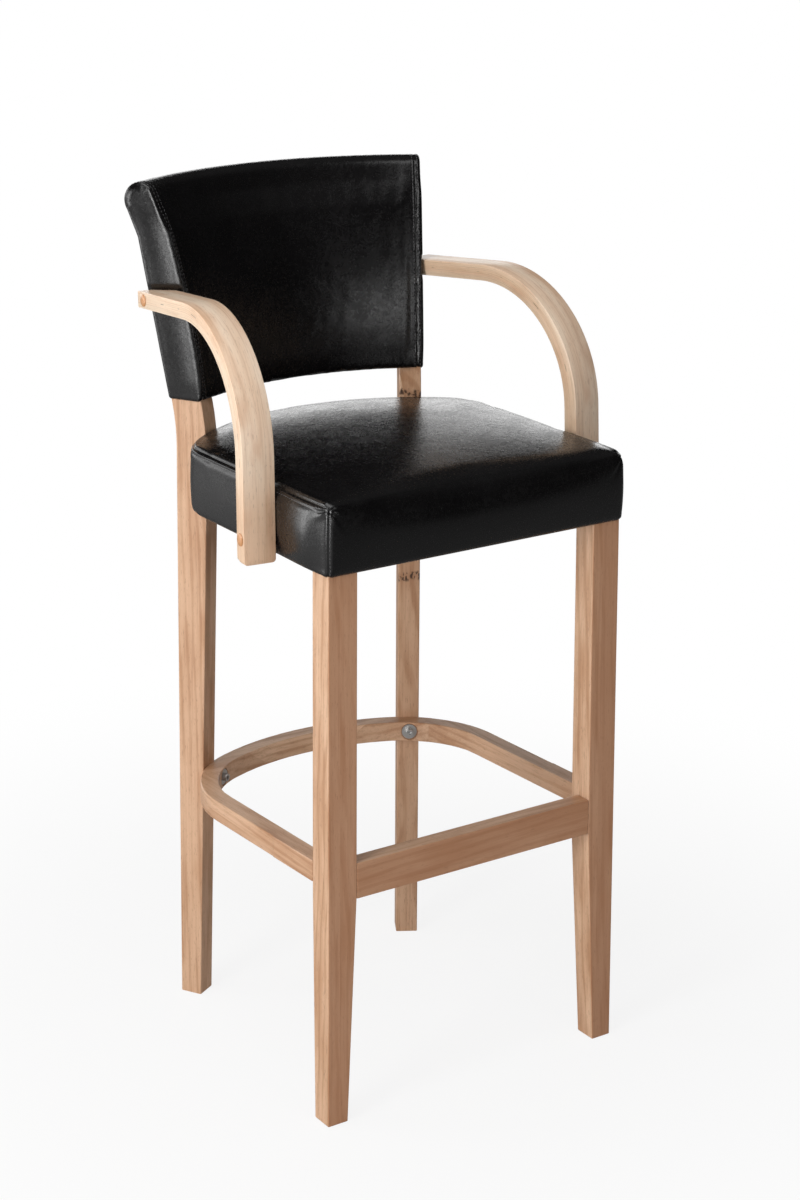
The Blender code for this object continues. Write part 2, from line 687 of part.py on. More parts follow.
def make_footrest():
    rear_angle = ring_joint_degrees()
    past_angle = math.degrees(FINGER_LENGTH / RING_CORNER)
    side_joint = RING.side(RING_ARM_JOINT_Y)
    rear_joint = RING.back(rear_angle)
    rear_stations = RING.sweep(rear_angle + past_angle, -rear_angle - past_angle, RING_REAR_STEPS)
    rear = ring_piece("footrest_rear", rear_stations, 1)
    for side, word in SIDES:
        arm_stations = [RING.side(LEG_DEPTH + CLEARANCE), RING.side(RING_ARM_JOINT_Y + FINGER_LENGTH)]
        arm = ring_piece("footrest_arm_" + word, arm_stations, side)
        cut(arm, on_side(beyond_fingers(side_joint, True), side), "side_joint")
        start, end = ring_dowel_ends()
        hole = cylinder(DOWEL_RADIUS + CLEARANCE, start, end + Vector((0, CLEARANCE, 0)))
        cut(arm, on_side(hole, side), "footrest_hole")
        dowel = cylinder(DOWEL_RADIUS, start + Vector((0, CLEARANCE, 0)), end)
        add_piece("footrest_dowel_" + word, on_side(dowel, side), dowel_wood, smooth=True)
        bend_stations = [RING.side(RING_ARM_JOINT_Y - FINGER_LENGTH)]
        bend_stations += RING.sweep(90, rear_angle - past_angle, RING_BEND_STEPS)
        bend = ring_piece("footrest_bend_" + word, bend_stations, side)
        cut(bend, on_side(beyond_fingers(side_joint, False), side), "side_joint")
        cut(bend, on_side(beyond_fingers(rear_joint, True), side), "rear_joint")
        cut(rear, on_side(beyond_fingers(rear_joint, False), side), word + "_joint")
        cut_for_ring_bolt(rear, side, word)
        housing = box(
            (post_front_reach(RING_BOLT_Z) - CLEARANCE, 0, -POST_HALF - CLEARANCE),
            (POST_FRONT_REACH + POST_DEPTH, RAIL_LOW_Z, POST_HALF + CLEARANCE),
        )
        cut(rear, on_side(moved(housing, post_frame()), side), word + "_housing")
        make_ring_fastening(side, word)


def cut_for_ring_bolt(rear, side, word):
    """The spot face for the washer and the hole for the bolt."""
    seat = at_post(RING_BOLT_SEAT_REACH, RING_BOLT_Z)
    start = at_post(RING_BOLT_SEAT_REACH - RING_THICKNESS / 2, RING_BOLT_Z)
    spot = cylinder(WASHER_RADIUS + WASHER_THICKNESS, start, seat)
    cut(rear, on_side(spot, side), word + "_spot_face")
    end = at_post(RING_BOLT_SEAT_REACH + RING_THICKNESS + OVERRUN, RING_BOLT_Z)
    hole = cylinder(BOLT_RADIUS + CLEARANCE, start, end)
    cut(rear, on_side(hole, side), word + "_bolt_hole")


def washer(name, seat, direction, side):
    """A flat washer lying on the seat, on the side that the direction points away from."""
    outwards = -Vector(direction)
    profile = (
        (BOLT_RADIUS + CLEARANCE, WASHER_THICKNESS),
        (WASHER_RADIUS, WASHER_THICKNESS),
        (WASHER_RADIUS, 0),
        (BOLT_RADIUS + CLEARANCE, 0),
        (BOLT_RADIUS + CLEARANCE, WASHER_THICKNESS),
    )
    frame = facing(Vector(seat) + outwards * CLEARANCE, outwards)
    add_piece(name, on_side(turned(profile, frame), side), zinc, smooth=True)


def threaded_insert(name, mouth, direction, side):
    """A threaded insert sunk just under the surface of the wood."""
    along = Vector(direction)
    start = Vector(mouth) + along * INSERT_INSET
    end = start + along * INSERT_LENGTH
    mesh = on_side(cylinder(INSERT_RADIUS, start, end), side)
    insert = add_piece(name, mesh, zinc, smooth=True)
    bore = cylinder(BOLT_RADIUS + CLEARANCE, start - along * OVERRUN, end + along * OVERRUN)
    cut(insert, on_side(bore, side), "bore")


def make_ring_fastening(side, word):
    seat = at_post(RING_BOLT_SEAT_REACH, RING_BOLT_Z)
    into = straight_back()
    washer("footrest_washer_" + word, seat, into, side)
    under_head = seat - into * (WASHER_THICKNESS + 2 * CLEARANCE)
    socket_screw("footrest_bolt_" + word, under_head, into, side)
    mouth = at_post(post_front_reach(RING_BOLT_Z), RING_BOLT_Z)
    threaded_insert("footrest_insert_" + word, mouth, into, side)


def post_outline():
    """The side of a rear post as (n, z) points: tapered below the seat, leaning back above it."""
    bend_low = POST_BEND_Z - POST_BEND_BLEND
    heights = [bend_low + 2 * POST_BEND_BLEND * i / POST_BEND_STEPS for i in range(POST_BEND_STEPS + 1)]
    heights = [0, SEAT_HEM_Z] + heights + [POST_TOP_Z]
    front = [(post_front_reach(z), z) for z in heights]
    rear = [(post_rear_reach(z), z) for z in heights if z == 0 or z >= bend_low]
    return front + rear[::-1]


def make_posts():
    for side, word in SIDES:
        mesh = prism(post_outline(), -POST_HALF, POST_HALF, post_frame())
        post = add_piece("rear_post_" + word, on_side(mesh, side), rubberwood)
        round_edges(post, WOOD_EDGE, 2)
        for z, label in ((RING_BOLT_Z, "footrest"), (SEAT_BOLT_Z, "seat")):
            front = post_front_reach(z)
            start = at_post(front - OVERRUN, z)
            insert_end = at_post(front + INSERT_INSET + INSERT_LENGTH + CLEARANCE, z)
            bolt_end = at_post(front + BOLT_LENGTH - OVERRUN * 2, z)
            pocket = cylinder(INSERT_RADIUS + CLEARANCE, start, insert_end)
            cut(post, on_side(pocket, side), label + "_insert_pocket")
            hole = cylinder(BOLT_RADIUS + CLEARANCE, start, bolt_end)
            cut(post, on_side(hole, side), label + "_bolt_hole")
        cut(post, on_side(rear_screw_hole(), side), "arm_screw_hole")
        for ends in (rail_dowel_ends(), top_dowel_ends()):
            hole = cylinder(DOWEL_RADIUS + CLEARANCE, *ends)
            cut(post, on_side(hole, side), "dowel_hole")


def rail_dowel_ends():
    """The dowel from the inner side of a post into the end of the backrest's lower rail."""
    z = BACK_HEM_Z + BACK_COVER_THICKNESS + BACK_RAIL_HEIGHT / 2
    n = (post_front_reach(z) + post_rear_reach(z)) / 2
    reach = DOWEL_LENGTH / 2
    return at_post(n, z, -POST_HALF - reach), at_post(n, z, -POST_HALF + reach)


def top_dowel_ends():
    """The upright dowel from the top of a post into the top rail."""
    n = post_rear_reach(POST_TOP_Z) - (post_rear_reach(POST_TOP_Z) - post_front_reach(POST_TOP_Z)) / 2
    reach = DOWEL_LENGTH / 2
    return at_post(n, POST_TOP_Z - reach), at_post(n, POST_TOP_Z + reach)


def shortened(ends, amount):
    """A dowel that leaves a little room at both ends of its holes."""
    start, end = ends
    step = (end - start).normalized() * amount
    return start + step, end - step


def make_seat_frame():
    rail = SEAT_RAIL_THICKNESS
    reach = LEG_INNER_X - CLEARANCE
    front = box((-reach, 0, RAIL_LOW_Z), (reach, SEAT_FRONT_RAIL_THICKNESS, RAIL_TOP_Z))
    add_piece("seat_front_rail", front, hidden_wood)
    for side, word in SIDES:
        stations = [SEAT.side(LEG_DEPTH + CLEARANCE), SEAT.side(SEAT_RAIL_JOINT_Y)]
        outline = drawn_in(stations, 0) + drawn_in(stations[::-1], rail)
        mesh = prism(outline, RAIL_LOW_Z, RAIL_TOP_Z)
        piece = add_piece("seat_side_rail_" + word, on_side(mesh, side), hidden_wood)
        cut(piece, on_side(front_screw_hole(), side), "arm_screw_hole")
    joint = SEAT_RAIL_JOINT_Y + CLEARANCE
    right = [SEAT.side(joint)] + SEAT.sweep(90, SEAT.corner_end, SEAT_RAIL_CORNER_STEPS)
    across = SEAT.sweep(SEAT.corner_end, -SEAT.corner_end, SEAT_RAIL_ARC_STEPS)[1:-1]
    left = SEAT.sweep(-SEAT.corner_end, -90, SEAT_RAIL_CORNER_STEPS) + [SEAT.side(joint, -1)]
    stations = right + across + left
    outline = drawn_in(stations, 0) + drawn_in(stations[::-1], rail)
    rear = add_piece("seat_rear_rail", prism(outline, RAIL_LOW_Z, RAIL_TOP_Z), hidden_wood)
    for side, word in SIDES:
        cut(rear, on_side(seat_bolt_hole(), side), word + "_bolt_hole")
        make_seat_fastening(side, word)
        make_corner_block(side, word)


def seat_bolt_seat():
    return at_post(SEAT_RAIL_RADIUS - SEAT_RAIL_THICKNESS - CLEARANCE, SEAT_BOLT_Z)


def seat_bolt_hole():
    seat, into = seat_bolt_seat(), straight_back()
    return cylinder(BOLT_RADIUS + CLEARANCE, seat - into * OVERRUN, seat + into * (BOLT_LENGTH + OVERRUN))


def make_seat_fastening(side, word):
    seat, into = seat_bolt_seat(), straight_back()
    washer("seat_washer_" + word, seat, into, side)
    under_head = seat - into * (WASHER_THICKNESS + 2 * CLEARANCE)
    socket_screw("seat_bolt_" + word, under_head, into, side)
    threaded_insert("seat_insert_" + word, at_post(POST_FRONT_REACH, SEAT_BOLT_Z), into, side)


def make_corner_block(side, word):
    top = CORNER_BLOCK_LOW_Z + CORNER_BLOCK_HEIGHT
    mesh = prism(corner_block_outline(), CORNER_BLOCK_LOW_Z, top)
    block = add_piece("corner_block_" + word, on_side(mesh, side), hidden_wood)
    cut(block, on_side(leg_bolt_hole(), side), "bolt_hole")
    socket_screw("leg_bolt_" + word, *leg_bolt_line(), side, LEG_BOLT_LENGTH)


def seat_outline(standoff):
    """The outline of the seat from above, this far outside the outer faces of the rails and legs."""
    hoop = Hoop(LEG_OUTER_X + standoff, SEAT_RAIL_RADIUS + standoff, SEAT_RAIL_CORNER + standoff)
    corner = max(SEAT_FRONT_CORNER + standoff, SMALLEST_CORNER)
    edge = hoop.half_width - corner
    corner_y = corner - standoff
    half = [(edge * share, -standoff) for share in FRONT_EDGE_SHARES]
    half += arc((edge, corner_y), corner, -90, 0, FRONT_CORNER_STEPS)
    half += [(hoop.half_width, corner_y + (hoop.corner_y - corner_y) * share) for share in SIDE_EDGE_SHARES]
    half += drawn_in(hoop.sweep(90, hoop.corner_end, REAR_CORNER_STEPS), 0)
    half += drawn_in(hoop.sweep(hoop.corner_end, 0, REAR_ARC_STEPS)[1:], 0)
    return half + [(-x, y) for x, y in half[-2:0:-1]]


def at_height(points, z):
    return [Vector((x, y, z)) for x, y in points]


def cushion_rings(inset, low_z):
    """The cushion's surface, drawn in by an inset, as rings from low_z up to the middle of its top."""
    rounding = SEAT_TOP_ROUNDING - inset
    rim_z = SEAT_EDGE_Z - inset
    rings = []
    for share in SIDE_HEIGHT_SHARES:
        z = low_z + (rim_z - rounding - low_z) * share
        bulge = SEAT_SIDE_BULGE * math.sin(math.pi * (z - SEAT_HEM_Z) / (SEAT_EDGE_Z - SEAT_HEM_Z))
        rings.append(at_height(seat_outline(SEAT_WRAP - inset + bulge), z))
    for step in range(1, ROUNDING_STEPS + 1):
        a = math.radians(90 * step / ROUNDING_STEPS)
        standoff = SEAT_WRAP - inset - rounding * (1 - math.cos(a))
        rings.append(at_height(seat_outline(standoff), rim_z - rounding * (1 - math.sin(a))))
    rim = seat_outline(SEAT_WRAP - inset - rounding)
    middle = sum(y for x, y in rim) / len(rim)
    for share in CROWN_SHARES:
        points = [(x * share, middle + (y - middle) * share) for x, y in rim]
        rings.append(at_height(points, rim_z + SEAT_CROWN * (1 - share**2)))
    return rings


def make_seat_board():
    low = RAIL_TOP_Z + CLEARANCE
    mesh = prism(seat_outline(0), low, low + SEAT_BOARD_THICKNESS)
    add_piece("seat_board", mesh, board)


def make_seat_foam():
    low = RAIL_TOP_Z + SEAT_BOARD_THICKNESS + 2 * CLEARANCE
    mesh = loft(cushion_rings(SEAT_COVER_THICKNESS + CLEARANCE, low))
    add_piece("seat_foam", mesh, foam, smooth=True)


def make_seat_cover():
    """One skin: its outer face from the middle down, round the lip under the rails, and back up inside."""
    floor_z = SEAT_HEM_Z + SEAT_COVER_THICKNESS
    lip = seat_outline(SEAT_WRAP - SEAT_LIP_WIDTH)
    rings = cushion_rings(0, SEAT_HEM_Z + SEAT_HEM_ROUNDING)[::-1]
    rings += [at_height(seat_outline(SEAT_WRAP - SEAT_HEM_ROUNDING), SEAT_HEM_Z)]
    rings += [at_height(lip, SEAT_HEM_Z), at_height(lip, floor_z)]
    rings += cushion_rings(SEAT_COVER_THICKNESS, floor_z)
    cover = add_piece("seat_cover", loft(rings), black_cover, smooth=True)
    for side, word in SIDES:
        notch = box(
            (LEG_INNER_X - CLEARANCE, -CLEARANCE, SEAT_HEM_Z - OVERRUN),
            (LEG_OUTER_X + CLEARANCE, LEG_DEPTH + CLEARANCE, RAIL_LOW_Z + CLEARANCE),
        )
        cut(cover, on_side(notch, side), word + "_leg_notch")
        cut(cover, on_side(seat_bolt_hole(), side), word + "_seat_bolt_hole")
        cut(cover, on_side(front_screw_hole(), side), word + "_arm_screw_hole")


def make_dust_cover():
    high = RAIL_LOW_Z - CLEARANCE
    mesh = prism(seat_outline(SEAT_WRAP - SEAT_LIP_WIDTH - CLEARANCE), high - DUST_COVER_THICKNESS, high)
    cloth = add_piece("seat_dust_cover", mesh, dust_cloth)
    for side, word in SIDES:
        notch = box(
            (LEG_INNER_X - CLEARANCE, -OVERRUN, SEAT_HEM_Z - OVERRUN),
            (LEG_OUTER_X + OVERRUN, LEG_DEPTH + CLEARANCE, RAIL_LOW_Z + OVERRUN),
        )
        cut(cloth, on_side(notch, side), word + "_leg_notch")


def back_stations(edges):
    """Stations across the backrest from right to left, each as (turn, u, tuck share, hand).

    Those in the middle are turns about the back axis. Those at the sides keep a distance u from the
    middle plane of the post, so that the sides stay in line with the posts.
    """
    half = [(POST_ANGLE, u, tuck) for u, tuck in edges]
    half += [(turn, 0, 0) for turn in BACK_TURNS]
    right = [(*station, 1) for station in half]
    left = [(*station, -1) for station in half[::-1]]
    return right + [(0, 0, 0, 1)] + left


def cover_stations(edge):
    edges = [(edge - inset, tuck) for inset, tuck in BACK_EDGE_INSETS]
    return back_stations(edges + [(-POST_HALF, 0)])


def back_point(n, z, station):
    turn, u, tuck, hand = station
    angle = hand * (math.radians(turn) + math.asin(u / n))
    return Vector((n * math.sin(angle), BACK_AXIS_Y + n * math.cos(angle), z))


def back_front_rows(station, inset):
    """The front of the padding from the hem up, as (n, z) points, with its crown and rounded sides."""
    turn, u, tuck, hand = station
    widest = math.radians(POST_ANGLE) + math.asin(POST_HALF / BACK_FOOT_REACH)
    share = (math.radians(turn) + u / BACK_FOOT_REACH) / widest
    across = 1 - min(share, 1) ** BACK_CROWN_POWER
    low_z = BACK_HEM_Z + inset
    rows = []
    for step, crown in enumerate(BACK_CROWN_SHARES):
        height_share = step / (len(BACK_CROWN_SHARES) - 1)
        z = low_z + (BACK_FRONT_TOP_Z - low_z) * height_share
        rise = (BACK_TOP_REACH - BACK_FOOT_REACH) * height_share**BACK_FRONT_CURVE_POWER
        n = BACK_FOOT_REACH + rise
        room = post_front_reach(z) - n - BACK_COVER_THICKNESS - LEAST_FOAM
        tucked = tuck * min(BACK_EDGE_ROUNDING, max(room, 0))
        rows.append((n + inset + tucked - BACK_CROWN * crown * across, z))
    return rows


def back_section(station, inset):
    """The closed outline of the backrest at one station, as (n, z) points."""
    tuck = station[2] * BACK_EDGE_ROUNDING
    centre = (SCROLL_REACH, SCROLL_Z)
    radius = SCROLL_RADIUS - inset
    scroll = arc(centre, radius, SCROLL_FRONT_DEGREES, SCROLL_REAR_DEGREES, SCROLL_STEPS)
    first, last = scroll[0][0], scroll[-1][0]
    scroll = [(n + tuck * (last - n) / (last - first) / 2, z) for n, z in scroll]
    low_z = BACK_HEM_Z + inset
    rear = []
    for step in range(BACK_REAR_STEPS + 1):
        z = BACK_REAR_TOP_Z + (low_z - BACK_REAR_TOP_Z) * step / BACK_REAR_STEPS
        rear.append((post_rear_reach(z) + BACK_COVER_THICKNESS + BACK_REAR_SLACK - inset, z))
    return back_front_rows(station, inset) + scroll + rear


def back_solid(inset, edge):
    """The backrest's outer form, drawn in all round by an inset."""
    rings = []
    for station in cover_stations(edge):
        rings.append([back_point(n, z, station) for n, z in back_section(station, inset)])
    return loft(rings)


def make_backrest_cover():
    edge = POST_HALF + BACK_COVER_THICKNESS + 2 * CLEARANCE
    cover = add_piece("backrest_cover", back_solid(0, edge), black_cover, smooth=True)
    cut(cover, back_solid(BACK_COVER_THICKNESS, edge - BACK_COVER_THICKNESS), "hollow")
    for side, word in SIDES:
        low = BACK_HEM_Z - OVERRUN
        high = BACK_HEM_Z + BACK_COVER_THICKNESS + CLEARANCE
        mouth = box(
            (post_front_reach(low) - CLEARANCE, low, -POST_HALF - CLEARANCE),
            (post_rear_reach(high) + CLEARANCE, high, POST_HALF + CLEARANCE),
        )
        cut(cover, on_side(moved(mouth, post_frame()), side), word + "_post_mouth")
        cut(cover, on_side(rear_screw_hole(), side), word + "_arm_screw_hole")


def back_strip(front_of, rear_of, low, high, edge):
    """A curved panel or rail that follows the lean of the posts, between two heights."""
    section = [(front_of(low), low), (front_of(high), high), (rear_of(high), high), (rear_of(low), low)]
    return loft([[back_point(n, z, station) for n, z in section] for station in back_stations([(edge, 0)])])


def rear_panel_front_reach(z):
    return post_rear_reach(z) - REAR_PANEL_THICKNESS


def front_panel_rear_reach(z):
    return post_front_reach(z) + BACK_PANEL_THICKNESS


def make_backrest_frame():
    between = -POST_HALF - CLEARANCE
    low = BACK_HEM_Z + BACK_COVER_THICKNESS + CLEARANCE
    rear = back_strip(rear_panel_front_reach, post_rear_reach, low, POST_TOP_Z, between)
    add_piece("backrest_rear_panel", rear, board, smooth=True)
    front = back_strip(post_front_reach, front_panel_rear_reach, low, POST_TOP_Z, between)
    add_piece("backrest_front_panel", front, board, smooth=True)
    mesh = back_strip(
        lambda z: front_panel_rear_reach(z) + CLEARANCE,
        lambda z: rear_panel_front_reach(z) - CLEARANCE,
        low,
        low + BACK_RAIL_HEIGHT,
        between,
    )
    lower = add_piece("backrest_lower_rail", mesh, hidden_wood, smooth=True)
    top = add_piece("backrest_top_rail", top_rail_solid(), hidden_wood, smooth=True)
    for side, word in SIDES:
        for rail, ends, label in ((lower, rail_dowel_ends(), "rail"), (top, top_dowel_ends(), "top")):
            hole = cylinder(DOWEL_RADIUS + CLEARANCE, *ends)
            cut(rail, on_side(hole, side), word + "_dowel_hole")
            dowel = cylinder(DOWEL_RADIUS, *shortened(ends, CLEARANCE))
            add_piece("backrest_" + label + "_dowel_" + word, on_side(dowel, side), dowel_wood, smooth=True)


def top_rail_solid():
    """The scrolled rail that lies on the tops of the posts and fills the head of the backrest."""
    inset = BACK_COVER_THICKNESS + CLEARANCE
    low_z = POST_TOP_Z + CLEARANCE
    edge = POST_HALF
    rings = []
    for station in cover_stations(edge):
        scroll = back_section(station, inset)[len(BACK_CROWN_SHARES):-BACK_REAR_STEPS - 1]
        section = [(post_front_reach(low_z), low_z)] + scroll + [(post_rear_reach(low_z), low_z)]
        rings.append([back_point(n, z, station) for n, z in section])
    return loft(rings)


def make_back_foam():
    """The pad in front of the posts and the panel."""
    inset = BACK_COVER_THICKNESS + CLEARANCE
    rings = []
    for station in cover_stations(POST_HALF):
        rows = back_front_rows(station, inset)
        rear = [(post_front_reach(z) - CLEARANCE, z) for n, z in rows]
        front = [(min(n, back[0] - CLEARANCE), z) for (n, z), back in zip(rows, rear)]
        rings.append([back_point(n, z, station) for n, z in front + rear[::-1]])
    add_piece("backrest_foam", loft(rings), foam, smooth=True)


def arm_frame():
    """Takes (y, z, out) of the right arm's own side view to its place."""
    turn = ARM_TOE_IN
    return Matrix(
        (
            (-math.sin(turn), 0, math.cos(turn), ARM_INNER_X),
            (math.cos(turn), 0, math.sin(turn), ARM_FRONT_Y),
            (0, 1, 0, 0),
            (0, 0, 0, 1),
        )
    )


def at_arm(y, z, out):
    """A point given by its y along the arm, before the arm is turned in, and out from its inner face."""
    return arm_frame() @ Vector((y - ARM_FRONT_Y, z, out))


def arm_line(inset):
    """One face of the arm in side view: up the front, round the bend and back along the top."""
    centre = (ARM_BEND_Y, ARM_BEND_Z)
    radius = ARM_BEND_RADIUS - inset
    bend = arc(centre, radius, 180 - ARM_UPRIGHT_LEAN, 90 - ARM_TOP_FALL, ARM_BEND_STEPS)
    up = math.radians(ARM_UPRIGHT_LEAN)
    start = bend[0]
    foot = (start[0] - (start[1] - ARM_LOW_Z) * math.tan(up), ARM_LOW_Z)
    fall = math.radians(ARM_TOP_FALL)
    end = bend[-1]
    rear = (ARM_REAR_Y, end[1] - (ARM_REAR_Y - end[0]) * math.tan(fall))
    return [foot] + bend + [rear]


def rounded_end(first, second, size):
    """Replaces the two corners of a square end by a round one with a few points."""
    first, second = Vector(first), Vector(second)
    across = (second - first).normalized()
    ahead = Vector((-across.y, across.x))
    points = []
    for centre, begin in ((first + across * size, 0), (second - across * size, 90)):
        for step in range(END_STEPS + 1):
            a = math.radians(begin + 90 * step / END_STEPS)
            base = centre - ahead * size
            points.append(base - across * size * math.cos(a) + ahead * size * math.sin(a))
    return [(p.x, p.y) for p in points]


def arm_outline():
    outer, inner = arm_line(0), arm_line(ARM_THICKNESS)
    rear = rounded_end(outer[-1], inner[-1], ARM_END_ROUNDING)
    foot = rounded_end(inner[0], outer[0], ARM_END_ROUNDING)
    outline = outer[1:-1] + rear + inner[-2:0:-1] + foot
    return [(y - ARM_FRONT_Y, z) for y, z in outline]


def arm_middle_z(y):
    """The height of the arm's middle along its top stretch."""
    top, under = arm_line(0)[-1], arm_line(ARM_THICKNESS)[-1]
    fall = math.tan(math.radians(ARM_TOP_FALL))
    return (top[1] + under[1]) / 2 + (ARM_REAR_Y - y) * fall


def front_screw_line():
    """The outer end and the direction of the screw into the side rail."""
    leaned = ARM_FRONT_SCREW_RISE * math.tan(math.radians(ARM_UPRIGHT_LEAN))
    y = ARM_FRONT_Y + ARM_THICKNESS / 2 + leaned
    outer = at_arm(y, ARM_FRONT_SCREW_Z, ARM_WIDTH)
    return outer, (at_arm(y, ARM_FRONT_SCREW_Z, 0) - outer).normalized()


def rear_screw_line():
    """The outer end and the direction of the screw into the rear post."""
    y = ARM_REAR_Y - ARM_REAR_SCREW_FROM_END
    z = arm_middle_z(y)
    outer = at_arm(y, z, ARM_WIDTH)
    return outer, (at_arm(y, z, 0) - outer).normalized()


def screw_hole(line, length):
    outer, into = line
    start = outer + into * (ARM_SCREW_SEAT_DEPTH - OVERRUN / 2)
    end = outer + into * (ARM_SCREW_SEAT_DEPTH + length + OVERRUN / 2)
    return cylinder(ARM_SCREW_RADIUS + CLEARANCE, start, end, sides=HOLE_SIDES)


def front_screw_hole():
    return screw_hole(front_screw_line(), ARM_FRONT_SCREW_LENGTH)


def rear_screw_hole():
    return screw_hole(rear_screw_line(), ARM_REAR_SCREW_LENGTH)


def make_arm_fastening(arm, line, length, label, side, word):
    """The stepped hole, the screw in it and the plug that covers it."""
    outer, into = line
    seat = outer + into * ARM_SCREW_SEAT_DEPTH
    pocket = cylinder(PLUG_STEM_RADIUS + CLEARANCE, outer - into * OVERRUN, seat)
    cut(arm, on_side(pocket, side), label + "_counterbore")
    cut(arm, on_side(screw_hole(line, length), side), label + "_screw_hole")
    screw_profile = (
        (0, ARM_SCREW_HEAD_HEIGHT),
        (ARM_SCREW_HEAD_RADIUS, ARM_SCREW_HEAD_HEIGHT),
        (ARM_SCREW_HEAD_RADIUS, 0),
        (ARM_SCREW_RADIUS, 0),
        (ARM_SCREW_RADIUS, -length),
        (0, -length),
    )
    frame = facing(seat - into * CLEARANCE, -into)
    screw = turned(screw_profile, frame)
    add_piece("arm_screw_" + label + "_" + word, on_side(screw, side), zinc, smooth=True)
    dome = arc((0, 0), 1, 90, 0, PLUG_DOME_STEPS)
    plug_profile = [(PLUG_RADIUS * x, PLUG_DOME * y) for x, y in dome]
    plug_profile += [(PLUG_STEM_RADIUS, 0), (PLUG_STEM_RADIUS, -PLUG_STEM_LENGTH), (0, -PLUG_STEM_LENGTH)]
    plug_profile[0] = (0, PLUG_DOME)
    plug_frame = facing(outer - into * CLEARANCE, -into)
    plug = turned(plug_profile, plug_frame)
    add_piece("arm_plug_" + label + "_" + word, on_side(plug, side), plug_wood, smooth=True)


def make_arms():
    for side, word in SIDES:
        mesh = prism(arm_outline(), 0, ARM_WIDTH, arm_frame())
        arm = add_piece("arm_" + word, on_side(mesh, side), bent_plywood)
        seat_u = POST_HALF + BACK_COVER_THICKNESS + 3 * CLEARANCE
        mitre = box(
            (POST_FRONT_REACH - ARM_WIDTH, ARM_BEND_Z, -ARM_WIDTH),
            (SCROLL_REAR_REACH + ARM_WIDTH, SCROLL_Z, seat_u),
        )
        cut(arm, on_side(moved(mitre, post_frame()), side), "mitre")
        round_edges(arm, WOOD_EDGE, 2)
        make_arm_fastening(arm, front_screw_line(), ARM_FRONT_SCREW_LENGTH, "front", side, word)
        make_arm_fastening(arm, rear_screw_line(), ARM_REAR_SCREW_LENGTH, "rear", side, word)


make_front_legs()
make_stretcher()
make_footrest()
make_posts()
make_seat_frame()
make_seat_board()
make_seat_foam()
make_seat_cover()
make_dust_cover()
make_backrest_cover()
make_backrest_frame()
make_back_foam()
make_arms()
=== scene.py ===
import json
import math

import bmesh
import bpy
import numpy as np
from mathutils import Matrix, Vector
from mathutils.bvhtree import BVHTree


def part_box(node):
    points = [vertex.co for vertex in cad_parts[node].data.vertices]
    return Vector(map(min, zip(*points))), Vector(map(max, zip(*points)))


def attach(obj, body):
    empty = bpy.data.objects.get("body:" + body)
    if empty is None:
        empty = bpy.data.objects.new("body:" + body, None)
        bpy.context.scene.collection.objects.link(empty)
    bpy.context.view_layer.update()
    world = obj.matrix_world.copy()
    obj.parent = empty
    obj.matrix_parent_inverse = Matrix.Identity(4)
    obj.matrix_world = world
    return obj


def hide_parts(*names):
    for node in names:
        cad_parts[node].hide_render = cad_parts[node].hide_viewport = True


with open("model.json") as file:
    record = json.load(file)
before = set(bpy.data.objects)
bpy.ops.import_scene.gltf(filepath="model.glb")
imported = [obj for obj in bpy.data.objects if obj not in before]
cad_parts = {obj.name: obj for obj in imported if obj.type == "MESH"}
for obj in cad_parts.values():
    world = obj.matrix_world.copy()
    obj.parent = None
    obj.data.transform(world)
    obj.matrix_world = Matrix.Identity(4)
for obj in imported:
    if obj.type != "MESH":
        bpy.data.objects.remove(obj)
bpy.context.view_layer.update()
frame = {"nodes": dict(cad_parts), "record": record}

nodes = frame["nodes"]


# The curve that the backrest and the posts follow, in the frame's own place

back = {
    "axisY": -0.1616,       # the middle of the curve, on the stool's centre line
    "postTurn": math.radians(30),
    "postHalf": 0.015,
    "postFront": 0.316,     # from the axis to the front of a post above the seat
    "postDepth": 0.045,
    "bendZ": 0.796,
    "postLean": math.radians(12),
}
postAcross = Vector((math.cos(back["postTurn"]), -math.sin(back["postTurn"]), 0))
backAxis = Vector((0, back["axisY"], 0))


def outFromPost(x, y):
    # how far outwards a place lies from the nearer post's middle; takes numbers, arrays and sockets
    return abs(x) * math.cos(back["postTurn"]) - (y - back["axisY"]) * math.sin(back["postTurn"])


# Small helpers for modelling

def deselectAll():
    if bpy.context.mode != "OBJECT":
        bpy.ops.object.mode_set(mode="OBJECT")
    bpy.ops.object.select_all(action="DESELECT")


def selectOnly(obj):
    deselectAll()
    bpy.context.view_layer.objects.active = obj
    obj.select_set(True)


def editMode(obj):
    selectOnly(obj)
    bpy.ops.object.mode_set(mode="EDIT")


def objectMode():
    bpy.ops.object.mode_set(mode="OBJECT")


def selectFaces(obj, wanted):
    # in edit mode: leaves only the faces selected for which wanted(face) holds
    bpy.ops.mesh.select_mode(type="FACE")
    bm = bmesh.from_edit_mesh(obj.data)
    for face in bm.faces:
        face.select_set(bool(wanted(face)))
    bmesh.update_edit_mesh(obj.data)


def selectEdges(obj, wanted):
    bpy.ops.mesh.select_mode(type="EDGE")
    bm = bmesh.from_edit_mesh(obj.data)
    for item in list(bm.faces) + list(bm.edges) + list(bm.verts):
        item.select_set(False)
    for edge in bm.edges:
        if wanted(edge.verts[0].co, edge.verts[1].co):
            edge.select_set(True)
    bmesh.update_edit_mesh(obj.data)


def applyModifier(obj, kind, name, **settings):
    selectOnly(obj)
    modifier = obj.modifiers.new(name, kind)
    for key, value in settings.items():
        setattr(modifier, key, value)
    bpy.ops.object.modifier_apply(modifier=modifier.name)


def applyPlace(obj):
    selectOnly(obj)
    bpy.ops.object.transform_apply(location=True, rotation=True, scale=True)


